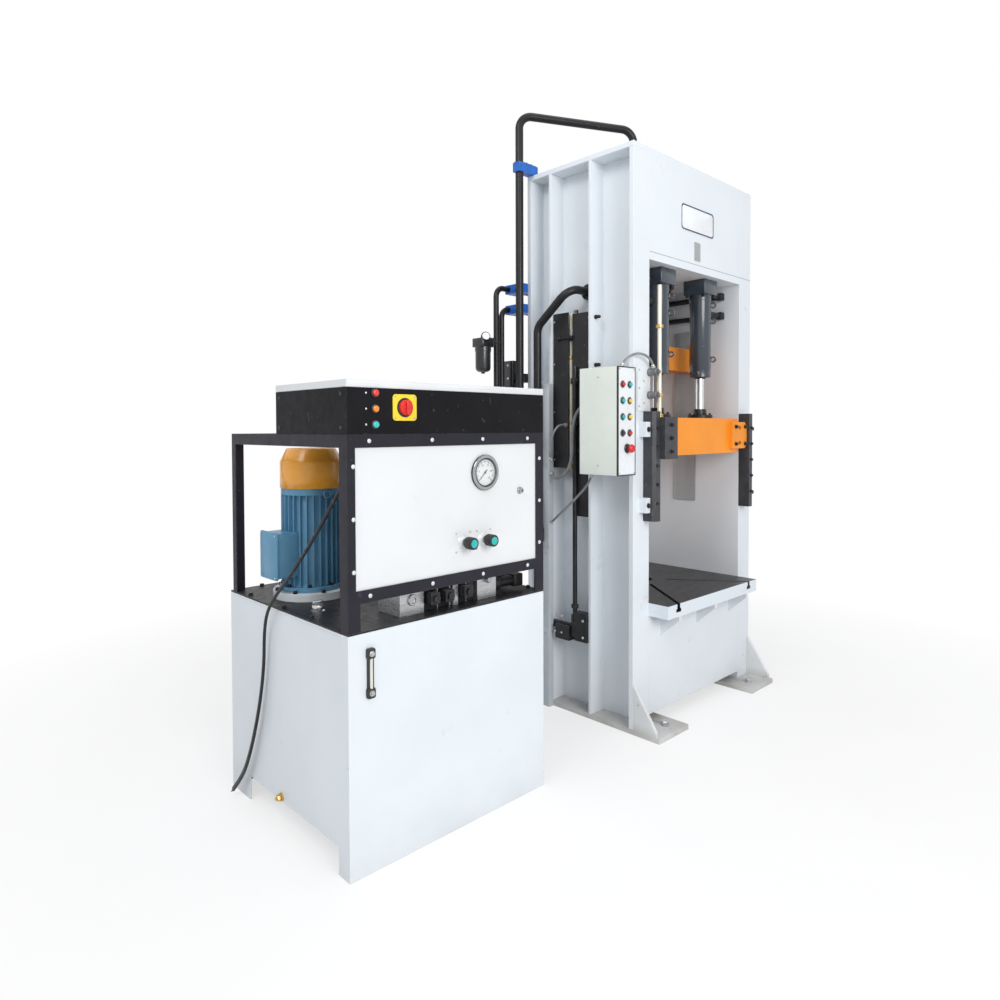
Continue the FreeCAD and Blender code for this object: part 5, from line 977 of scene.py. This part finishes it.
# ---------------------------------------------------------------- control box
# The switch cabinet is a folded steel box in black crackle enamel under a white lid. Three
# lamps stand at its left; a yellow plate carries the red handle of the main switch.
box_black = finish("box_black", (0.008, 0.008, 0.01), 0.46, gloss=0.1, mottle=0.16, patch=9,
    bump=0.05, grain=300, worn=(0.04, 0.04, 0.046), share=0.2, edge=(0.1, 0.1, 0.11))
lid_white = finish("lid_white", (0.69, 0.7, 0.71), 0.36, mottle=0.03, bump=0.012,
    worn=(0.58, 0.6, 0.62), share=0.14, edge=(0.5, 0.5, 0.5))
dressed(["control_box"], box_black, 0.002)
dressed(["control_box_lid"], lid_white, 0.0018)
plate_piece("box_lid_flange", (tank_left + 0.002, tank_front - 0.0012, 1.6018),
    (tank_right - 0.002, tank_front - 0.0001, 1.6235), lid_white, 0.0004, 0.001)
lamp_rings, lamp_x, lamp_top, lamp_pitch = [], -2.038, 1.583, 0.0515
for number, (word, colour, edge, tint) in enumerate((
        ("red", (0.75, 0.03, 0.02), (0.9, 0.3, 0.25), "red_plastic"),
        ("orange", (0.9, 0.26, 0.02), (0.95, 0.5, 0.2), "yellow_plastic"),
        ("teal", (0.03, 0.5, 0.46), (0.3, 0.75, 0.7), "green_plastic"))):
    paint = finish("lens_" + word, colour, 0.16, mottle=0.12, patch=60, bump=0.01, edge=edge,
        coat=0.6)
    up = lamp_top - lamp_pitch * number
    made(f"lamp_lens_{number}", [lathe([(0.0108, 0.002), (0.011, 0.0085), (0.0098, 0.0115),
        (0.006, 0.0128), (0.0006, 0.0131)], (lamp_x, tank_front, up), to_front, 36)], paint)
    lamp_rings.append(lathe([(0.0105, -0.0002), (0.0148, -0.0002), (0.015, 0.001), (0.015, 0.005),
        (0.0138, 0.0064), (0.0112, 0.0068), (0.0109, 0.004)], (lamp_x, tank_front, up), to_front, 40))
made("lamp_bezels", lamp_rings, gland_black)
domes("lamp_pips", [(lamp_x - 0.033, tank_front, lamp_top - lamp_pitch * n) for n in range(3)],
    screw_white, 0.0035, 0.0015)
switch_yellow = finish("switch_yellow", (0.85, 0.62, 0.03), 0.34, patch=20, bump=0.01,
    worn=(0.6, 0.42, 0.03), share=0.1, edge=(0.6, 0.45, 0.1))
isolator_x, isolator_z = -1.919, 1.5375
isolator = plate_piece("isolator_plate", (-1.968, tank_front - 0.004, 1.493),
    (-1.87, tank_front + 0.0003, 1.582), switch_yellow, 0.0008, 0.012)
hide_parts("box_switchgear")
bolted("isolator_screws", [(isolator_x + i * 0.04, tank_front - 0.004, isolator_z + j * 0.036)
    for i in (-1, 1) for j in (-1, 1)], gland_nickel, 0.006, 0.002, to_front, washer=False)
made("isolator_collar", [lathe([(0.0265, -0.0002), (0.0325, -0.0002), (0.033, 0.0004),
    (0.0325, 0.0018), (0.0268, 0.0022)], (isolator_x, tank_front - 0.004, isolator_z), to_front, 56)],
    knob_black)
# the handle: a round disc, and a raised grip that is widest at its middle
handle_red = finish("handle_red", (0.66, 0.022, 0.02), 0.28, mottle=0.07, patch=30, bump=0.01,
    edge=(0.8, 0.15, 0.12), coat=0.3)
disc = lathe([(0.0245, 0.0003), (0.0258, 0.0012), (0.0258, 0.0095), (0.0245, 0.0118), (0.017, 0.0124),
    (0.0006, 0.0126)], (isolator_x, tank_front - 0.0045, isolator_z), to_front, 56)
grip = slab((-0.007, -0.026, 0.01), (0.007, 0.026, 0.024), 0.0022, 0.0068)
grip[..., 0] *= 1 + 0.25 * np.cos(grip[..., 1] / 0.026 * np.pi / 2)
grip = aimed(grip, (isolator_x, tank_front - 0.0045, isolator_z), to_front)
made("isolator_handle_cap", [disc, grip], handle_red, "handle_body",
    over="isolator_handle")
domes("box_side_screws", spots(tank_left, (-0.335, 0.085), (1.47, 1.578)), knob_black, 0.006, 0.0028,
    to_left)

# ---------------------------------------------------------------- motor, cowl and pump
# A cast-aluminium motor stands over the tank on a bell housing, with upright cooling fins,
# a terminal box and a pressed steel fan cowl with radial slots, sprayed orange.
motor_blue = finish("motor_blue", (0.11, 0.28, 0.43), 0.36, mottle=0.1, patch=9,
    worn=(0.14, 0.29, 0.42), share=0.15, edge=(0.19, 0.34, 0.46))
dressed(["motor_body"], motor_blue, 0.0006, 1)
motor_at = (-1.937, 0.232, 0)
end_rings = [aimed(shape, motor_at) for shape in (turned([(0.098, 0.8385), (0.1235, 0.8385),
    (0.125, 0.84), (0.125, 0.8545), (0.1235, 0.856), (0.104, 0.8575), (0.1015, 0.862), (0.1005, 0.87),
    (0.098, 0.87)], 80), turned([(0.098, 1.208), (0.112, 1.209), (0.1165, 1.211), (0.1165, 1.235),
    (0.098, 1.235)], 80))]
made("motor_end_rings", end_rings, motor_blue)
terminal = [slab((-2.1135, 0.168, 0.8985), (-2.03, 0.2965, 1.0695), 0.004, 0.01, axis=0),
    slab((-2.1215, 0.1625, 0.893), (-2.1128, 0.302, 1.075), 0.0028, 0.012, axis=0)]
made("terminal_cover", terminal, motor_blue)
bolted("terminal_screws", spots(-2.1215, (0.174, 0.29), (0.905, 1.063)), bolt_zinc, 0.008, 0.004,
    to_left, washer=False)
bolted("motor_foot_bolts", ring_of(*motor_at[:2], 0.856, 0.113, 8, 0.2), bolt_black, 0.014, 0.009,
    socket=True)
eye_half = 0.014
made("motor_lifting_eye", [bent_ring((motor_at[0], motor_at[1] - 0.121, 1.215),
    np.array([eye_half, 0, 0]), np.array([0, 0, eye_half]), 0.0035)], motor_blue)

# the cowl: wall and cone shoulder are one thin sheet with open slots in its top ring
cowl_orange = finish("cowl_orange", (0.98, 0.42, 0.05), 0.24, mottle=0.05, patch=8, bump=0.012,
    worn=(0.66, 0.2, 0.02), share=0.1, edge=(0.6, 0.22, 0.05), coat=0.35)
slots_round, cowl_sides = 24, 240
turn = np.arange(cowl_sides) * 2 * np.pi / cowl_sides
cowl_profile = [(0.1206, 1.2352), (0.1206, 1.337), (0.1196, 1.3415), (0.117, 1.3455), (0.096, 1.387),
    (0.0935, 1.3895), (0.09, 1.39), (0.0835, 1.39), (0.0805, 1.39), (0.0305, 1.39), (0.0275, 1.39),
    (0.0006, 1.3902)]
# an opening is every cell of the flat ring whose turn falls in the first part of a slot's pitch
slot_ring, slot_share = 8, 0.42
openings = np.zeros((len(cowl_profile) - 1, cowl_sides), bool)
openings[slot_ring, (turn * slots_round / (2 * np.pi)) % 1 < slot_share] = True
cowl = made("fan_cowl_pressed", [lathe(cowl_profile, motor_at, sides=cowl_sides)], cowl_orange,
    over="fan_cowl", sharp=38, ends=False, missing=openings)
walled = cowl.modifiers.new("sheet", "SOLIDIFY")
walled.thickness = 0.0022
walled.offset = -1
fan_black = finish("fan_black", (0.03, 0.03, 0.032), 0.5, mottle=0.2, patch=20)
dressed(["motor_rotor"], fan_black, 0)
ring_white = finish("ring_white", (0.7, 0.73, 0.75), 0.38, mottle=0.05, patch=12, bump=0.02,
    worn=(0.5, 0.52, 0.54), share=0.2, edge=(0.45, 0.46, 0.47))
made("pump_bell_turned", [lathe([(0.001, 0.48), (0.052, 0.48), (0.055, 0.483), (0.055, 0.64),
    (0.08, 0.64), (0.08, 0.808), (0.149, 0.808), (0.15, 0.809), (0.15, 0.836), (0.1485, 0.838),
    (0.07, 0.838), (0.07, 0.66), (0.001, 0.66)], motor_at, sides=80)], ring_white,
    over="pump_and_bell")
bolted("bell_bolts", ring_of(*motor_at[:2], 0.838, 0.138, 8, 0.59), bolt_black, 0.014, 0.009,
    socket=True)

# ---------------------------------------------------------------- valve manifold
# Planed steel and aluminium blocks are bolted up in a row on the tank lid. Black solenoid
# valves sit between them, parted by thin steel plates, with a steel bar on the far end.
block_alloy = finish("block_alloy", (0.5, 0.51, 0.52), 0.3, 0.85, mottle=0.1, patch=12, bump=0.04,
    stretch=(1, 1, 7), worn=(0.34, 0.35, 0.36), share=0.22, edge=(0.7, 0.7, 0.7))
dressed(["valve_manifold"], block_alloy, 0.0015)
valve_black = finish("valve_black", (0.022, 0.022, 0.025), 0.36, 0.2, mottle=0.2, patch=25,
    edge=(0.14, 0.14, 0.14))
valve_bodies = [slab((left_x, -0.3035, 0.8075), (right_x, -0.1945, top_z), 0.0025, 0.005, axis=0)
    for left_x, right_x, top_z in ((-1.797, -1.742, 0.902), (-1.734, -1.672, 0.902),
    (-1.636, -1.59, 0.9), (-1.583, -1.546, 0.894))]
coils = []
for x in (-1.77, -1.703, -1.613):
    coils += [slab((x - 0.021, -0.3475, 0.836), (x + 0.021, -0.3, 0.88), 0.0022, 0.006, axis=1),
        lathe([(0.0125, 0.0), (0.0135, 0.0008), (0.0135, 0.011), (0.012, 0.0128), (0.0006, 0.013)],
        (x, -0.347, 0.858), to_front, 32)]
made("solenoid_valves", valve_bodies + coils, valve_black)
thin_plates = [slab((x, -0.3165, 0.8075), (x + 0.004, -0.1815, 0.918), 0.0005, 0.002, axis=0)
    for x in (-1.7405, -1.665, -1.544)]
thin_plates.append(lathe([(0.0075, 0), (0.0085, 0.001), (0.0085, 0.17), (0.0075, 0.1715)],
    (-1.64, -0.249, 0.911), to_right, 28))
made("manifold_plates", thin_plates, bolt_zinc)
plugs = [lathe([(0.0005, 0.0), (0.019, 0.0), (0.02, 0.001), (0.02, 0.005), (0.0185, 0.0065),
    (0.012, 0.0068), (0.0112, 0.003), (0.0005, 0.003)], (-1.851, -0.315, 0.862), to_front, 40),
    lathe([(0.0005, 0.0), (0.014, 0.0), (0.015, 0.001), (0.015, 0.016), (0.013, 0.018),
    (0.0005, 0.018)], (-1.493, -0.315, 0.884), to_front, 6)]
made("manifold_plugs", plugs, rim_steel)
made("manifold_brass", [lathe([(0.0005, 0.0), (0.0095, 0.0), (0.0105, 0.001), (0.0105, 0.012),
    (0.008, 0.014), (0.007, 0.024), (0.0005, 0.0245)], (-1.4435, -0.205, 0.886), to_right, 6)], brass)
bolted("manifold_bolts", spots((-1.885, -1.818, -1.523, -1.463), (-0.297, -0.201), 0.92), bolt_black,
    0.013, 0.009, socket=True)
filter_can = [lathe([(0.01, 0.809), (0.048, 0.809), (0.05, 0.811), (0.05, 0.905), (0.046, 0.914),
    (0.03, 0.919), (0.0006, 0.9195)], (-1.5, -0.09, 0), sides=56)]
made("return_filter_can", filter_can, ring_white)

# ---------------------------------------------------------------- oil pipes
# Cold-drawn steel tube, bent and satin black, with forged square elbows at the pack's end
# and screwed unions with nuts at each port. They pass through the left column's web.


def rounded_path(corners, radius, steps):
    """The corners of a route, each replaced by an arc that touches both its legs."""
    corners = np.asarray(corners, float)
    line = [corners[0]]
    for before, here, later in zip(corners, corners[1:], corners[2:]):
        back = (before - here) / np.linalg.norm(before - here)
        forth = (later - here) / np.linalg.norm(later - here)
        half = math.acos(np.clip(back.dot(forth), -1, 1)) / 2
        trim = radius / math.tan(half)
        middle = here + (back + forth) / np.linalg.norm(back + forth) * radius / math.sin(half)
        first = (here + back * trim - middle) / radius
        across = here + forth * trim - middle
        across -= first * across.dot(first)
        across /= np.linalg.norm(across)
        angle = np.linspace(0, np.pi - 2 * half, steps)[:, None]
        line += list(middle + radius * (np.cos(angle) * first + np.sin(angle) * across))
    return np.array(line + [corners[-1]])


def union_at(at, toward, radius):
    """A screwed union: hexagon body, collar and cone that meets the tube."""
    return [lathe([(radius * 1.02, 0), (radius * 1.62, 0.0005), (radius * 1.62, radius * 0.95),
        (radius * 1.02, radius)], at, toward, 6), lathe([(radius * 1.02, radius),
        (radius * 1.4, radius), (radius * 1.42, radius * 1.1), (radius * 1.42, radius * 1.9),
        (radius * 1.15, radius * 2.3), (radius * 1.0, radius * 2.35)], at, toward, 32)]


def elbow_at(at, side):
    """A forged elbow: a cube with well rounded rims, as if all its corners were swaged."""
    half = side / 2
    at = np.asarray(at, float)
    return slab(at - half, at + half, side * 0.09, side * 0.14)


pipe_black = finish("pipe_black", (0.014, 0.014, 0.016), 0.34, gloss=0.25, mottle=0.2, patch=8,
    bump=0.015, worn=(0.04, 0.04, 0.044), share=0.16)
forged_black = finish("forged_black", (0.026, 0.026, 0.028), 0.42, 0.4, mottle=0.22, patch=25,
    bump=0.05, worn=(0.1, 0.1, 0.1), share=0.2, edge=(0.16, 0.16, 0.16))
big, bend, forged = 0.021, 0.07, 0.05
main_low, main_y, pack_end = 0.848, 0.326, -1.443
return_low, return_y, return_top = 0.895, 0.217, 2.165


def pipe_set(corners, runs):
    """The bent riser and the straight runs of one pipe."""
    return [swept(path, big, 40) for path in [rounded_path(corners, bend, 16)] + runs]


def fitting_set(elbows, unions):
    """Forged elbows at the places, and unions as (place, direction, radius)."""
    shapes = [elbow_at(at, forged) for at in elbows]
    for at, toward, radius in unions:
        shapes += union_at(at, toward, radius)
    return shapes


made("main_pipe_bent", pipe_set([(-0.656, main_y, 0.86), (-0.656, main_y, 3.115),
    (-0.055, 0.027, 3.115), (-0.055, 0.027, 2.742)],
    [[(-1.29, main_y, main_low), (-0.67, main_y, main_low)],
    [(-1.3, -0.265, main_low), (-1.3, 0.315, main_low)],
    [(pack_end, -0.2754, main_low), (-1.31, -0.2754, main_low)]]), pipe_black,
    over="main_pressure_pipe")
made("main_pipe_fittings", fitting_set([(-0.656, main_y, main_low), (-1.3, main_y, main_low),
    (-1.3, -0.2754, main_low)], [((-0.656, main_y, 0.873), upward, big),
    ((-0.681, main_y, main_low), to_left, big), ((-1.275, main_y, main_low), to_right, big),
    ((pack_end, -0.2754, main_low), to_right, big * 0.95)]), forged_black)
made("return_pipe_bent", pipe_set([(-0.118, 0, return_top), (-0.635, 0, return_top),
    (-0.635, return_y, 1.992), (-0.635, return_y, 0.905)], [[(-1.35, return_y, return_low),
    (-0.65, return_y, return_low)], [(-1.36, -0.21, return_low), (-1.36, 0.205, return_low)],
    [(pack_end, -0.22, return_low), (-1.37, -0.22, return_low)]]), pipe_black,
    over="return_pipe")
fittings = fitting_set([(-0.635, return_y, return_low), (-1.36, return_y, return_low),
    (-1.36, -0.22, return_low)], [((-0.635, return_y, 0.92), upward, big),
    ((-0.66, return_y, return_low), to_left, big), ((-0.1155, 0, return_top), to_left, big * 1.1)])
fittings.append(lathe([(0.021, 0), (0.0395, 0), (0.04, 0.0008), (0.04, 0.0165), (0.0385, 0.018),
    (0.023, 0.019), (0.021, 0.024)], (-0.475, 0, return_top), to_left, 48))
made("return_pipe_fittings", fittings, forged_black)
bolted("return_flange_bolts", [(-0.493, 0.03 * math.cos(a), return_top + 0.03 * math.sin(a))
    for a in np.arange(4) * math.pi / 2 + 0.785], bolt_black, 0.01, 0.007, to_left, socket=True,
    washer=False)

# the two holder lines: riser, header behind the press and a branch along each wall
small, line_rear, line_wall, holder_y = 0.015, 0.445, 0.425, 0.235
tubes, fittings = [], []
for riser_x, up, low, turn_x, port_x in ((-0.715, 2.222, 0.89, -1.69, 0.2775),
                                         (-0.675, 2.112, 0.845, -1.63, 0.2685)):
    tubes.append(swept(rounded_path([(riser_x, line_rear, low + 0.01), (riser_x, line_rear, up),
        (line_wall - 0.015, line_rear, up)], 0.05, 14), small, 28))
    tubes.append(swept([(turn_x + 0.012, line_rear, low), (riser_x - 0.012, line_rear, low)], small,
        28))
    tubes.append(swept([(turn_x, -0.183, low), (turn_x, line_rear - 0.012, low)], small, 28))
    fittings += [elbow_at((riser_x, line_rear, low), 0.04), elbow_at((turn_x, line_rear, low), 0.04)]
    fittings += union_at((riser_x, line_rear, low + 0.02), upward, small)
    fittings += union_at((turn_x, -0.183, low), to_rear, small)
    for side in (-1, 1):
        wall = side * line_wall
        tubes.append(swept([(wall, line_rear - 0.012, up), (wall, -holder_y + 0.012, up)], small, 28))
        fittings += [elbow_at((wall, line_rear, up), 0.04), elbow_at((wall, -holder_y, up), 0.04)]
        for end in (-1, 1):
            tubes.append(swept([(side * port_x, end * holder_y, up),
                (wall - side * 0.01, end * holder_y, up)], small, 28))
            fittings += union_at((side * port_x, end * holder_y, up), (side, 0, 0), small)
made("holder_lines_bent", tubes, pipe_black, over="holder_lines")
made("holder_line_fittings", fittings, forged_black)

# moulded blue clamps hold the tubes to the frame, each under a steel plate and bolts
clamp_blue = finish("clamp_blue", (0.02, 0.13, 0.5), 0.4, mottle=0.1, patch=30,
    worn=(0.05, 0.2, 0.55), share=0.15, edge=(0.12, 0.26, 0.6))
dressed(["pipe_clamps"], clamp_blue, 0.003, 3)
clamp_tops = [slab((-0.684, 0.3, 2.8632), (-0.549, 0.341, 2.8672), 0.0008, 0.004),
    slab((-0.6215, 0.468, 2.2), (-0.547, 0.4715, 2.244), 0.0008, 0.004, axis=1),
    slab((-0.6215, 0.468, 2.09), (-0.547, 0.4715, 2.134), 0.0008, 0.004, axis=1)]
made("clamp_plates", clamp_tops, bolt_black)
bolted("clamp_bolts_top", spots((-0.61, -0.575), 0.3205, 2.8672), bolt_black, 0.013, 0.008)
bolted("clamp_bolts_rear", spots((-0.605, -0.563), 0.4715, (2.222, 2.112)), bolt_black, 0.013, 0.008,
    to_rear)
bolted("clamp_bolts_front", [(-0.6235, 0.38, z + rise) for z in (2.222, 2.112)
    for rise in (-0.013, 0.013)], bolt_black, 0.011, 0.006, to_left)

# ---------------------------------------------------------------- air unit
# A filter bowl screwed under a die-cast head with a small gauge hangs from the outer riser;
# a coated valve box stands beside it on a bracket.
air_black = finish("air_black", (0.018, 0.019, 0.022), 0.22, 0.1, mottle=0.2, patch=20, bump=0.015,
    worn=(0.06, 0.06, 0.065), share=0.12, edge=(0.12, 0.12, 0.13), coat=0.4)
filter_x = -0.812
wider = np.array([1.2, 1])
bowl = lathe(wider * [(0.001, 1.7555), (0.008, 1.755), (0.0085, 1.762), (0.023, 1.765),
    (0.0315, 1.774), (0.0336, 1.786), (0.034, 1.87), (0.0362, 1.872), (0.0362, 1.895), (0.03, 1.896)],
    (filter_x, line_rear, 0), sides=56)
head = slab((filter_x - 0.043, line_rear - 0.043, 1.894), (filter_x + 0.043, line_rear + 0.043, 1.94),
    0.003, 0.012)
arm = slab((filter_x + 0.034, line_rear - 0.011, 1.905), (-0.7295, line_rear + 0.011, 1.949), 0.002,
    0.004, axis=0)
hoop_half = 0.0185
hoop = bent_ring((-0.715, line_rear, 1.927), np.array([hoop_half, 0, 0]), np.array([0, hoop_half, 0]),
    0.0042, 41)
valve_body = slab((-0.63, 0.405, 1.64), (-0.585, 0.475, 1.834), 0.003, 0.006)
bracket = slab((-0.5995, 0.345, 1.713), (-0.5455, 0.4055, 1.761), 0.0015, 0.003)
top_cap = lathe([(0.0005, 1.938), (0.02, 1.938), (0.021, 1.94), (0.021, 1.96), (0.0185, 1.9695),
    (0.0005, 1.97)], (filter_x + 0.016, line_rear, 0), sides=32)
made("air_unit_cast", [bowl, head, arm, hoop, valve_body, bracket, top_cap], air_black,
    over="air_unit")
gauge_at, gauge_way = np.array([filter_x - 0.015, line_rear - 0.034, 1.944]), (-0.55, -1, 0.3)
made("air_gauge_rim", [lathe([(0.02, -0.001), (0.024, 0.0), (0.024, 0.015), (0.0225, 0.0178),
    (0.0205, 0.018), (0.0195, 0.016), (0.0005, 0.0158)], gauge_at, gauge_way, 40)], knob_black)
made("air_gauge_dial", [lathe([(0.0194, 0.0), (0.0194, 0.0004), (0.0005, 0.0005)],
    gauge_at + 0.016 * np.array(gauge_way) / np.linalg.norm(gauge_way), gauge_way, 40)], dial_white)
bolted("valve_box_bolts", spots(-0.63, 0.44, (1.665, 1.737, 1.809)), bolt_zinc, 0.01, 0.005, to_left)

# ---------------------------------------------------------------- floor and light
# A white floor that keeps the press's shadow and fades into a white surround. Three soft
# lamps stand before it, at its side and over it, as in a dealer's picture.


def background_ray(tree):
    """One for rays that should meet the plain background: straight, mirrored or refracted."""
    camera_ray, glossy_ray, through_ray = (shade_node(tree, "LightPath", {}, f"Is {kind} Ray")
        for kind in ("Camera", "Glossy", "Transmission"))
    return worked(tree, "MAXIMUM", worked(tree, "MAXIMUM", camera_ray, glossy_ray), through_ray)


floor_white = finish("floor_white", (0.92, 0.92, 0.92), 0.9, mottle=0.02, patch=1.5, bump=0.0)
tree = floor_white.node_tree
paper = tree.nodes["Principled BSDF"]
feed(tree, paper, {"Specular IOR Level": 0.05})
far = shade_node(tree, "VectorMath", {0: object_place(tree), 1: (-0.8, 0.0, 0.0)}, "Value",
    operation="DISTANCE")
lit = shade_node(tree, "MixShader", {0: ranged(tree, far, 1.4, 3.6, 0.62, 1.0), 1: paper.outputs[0],
    2: shade_node(tree, "Emission", {"Strength": 1})})
feed(tree, tree.nodes["Material Output"], {"Surface": shade_node(tree, "MixShader",
    {0: background_ray(tree), 1: paper.outputs[0], 2: lit})})
reach = 14.0
floor_mesh = bpy.data.meshes.new("floor")
floor_mesh.from_pydata([(-reach, -reach, 0), (reach, -reach, 0), (reach, reach, 0),
    (-reach, reach, 0)], [], [(0, 1, 2, 3)])
floor_mesh.materials.append(floor_white)
in_scene("floor", floor_mesh)

world = bpy.data.worlds.new("surround")
bpy.context.scene.world = world
tree = with_nodes(world)
sky = tree.nodes["Background"]
feed(tree, sky, {"Color": (0.93, 0.96, 1.0, 1), "Strength": 0.5})
white = shade_node(tree, "Background", {"Strength": 1, "Color": (1, 1, 1, 1)})
feed(tree, tree.nodes["World Output"], {"Surface": shade_node(tree, "MixShader",
    {0: background_ray(tree), 1: sky.outputs[0], 2: white})})
for name, place, aim, wide, watts in (
        ("front_lamp", (-2.6, -5.4, 3.0), (-0.6, 0.0, 1.2), 3.0, 178),
        ("left_lamp", (-4.6, -0.8, 4.8), (-0.4, 0.0, 1.9), 2.6, 90),
        ("top_lamp", (-0.2, -0.8, 6.0), (-0.4, 0.0, 1.0), 3.0, 35)):
    lamp = bpy.data.lights.new(name, "AREA")
    lamp.shape = "DISK"
    lamp.size = wide
    lamp.energy = watts
    held = in_scene(name, lamp)
    held.location = place
    held.rotation_euler = (Vector(aim) - Vector(place)).to_track_quat("-Z", "Y").to_euler()
bpy.context.scene.view_settings.view_transform = "Standard"
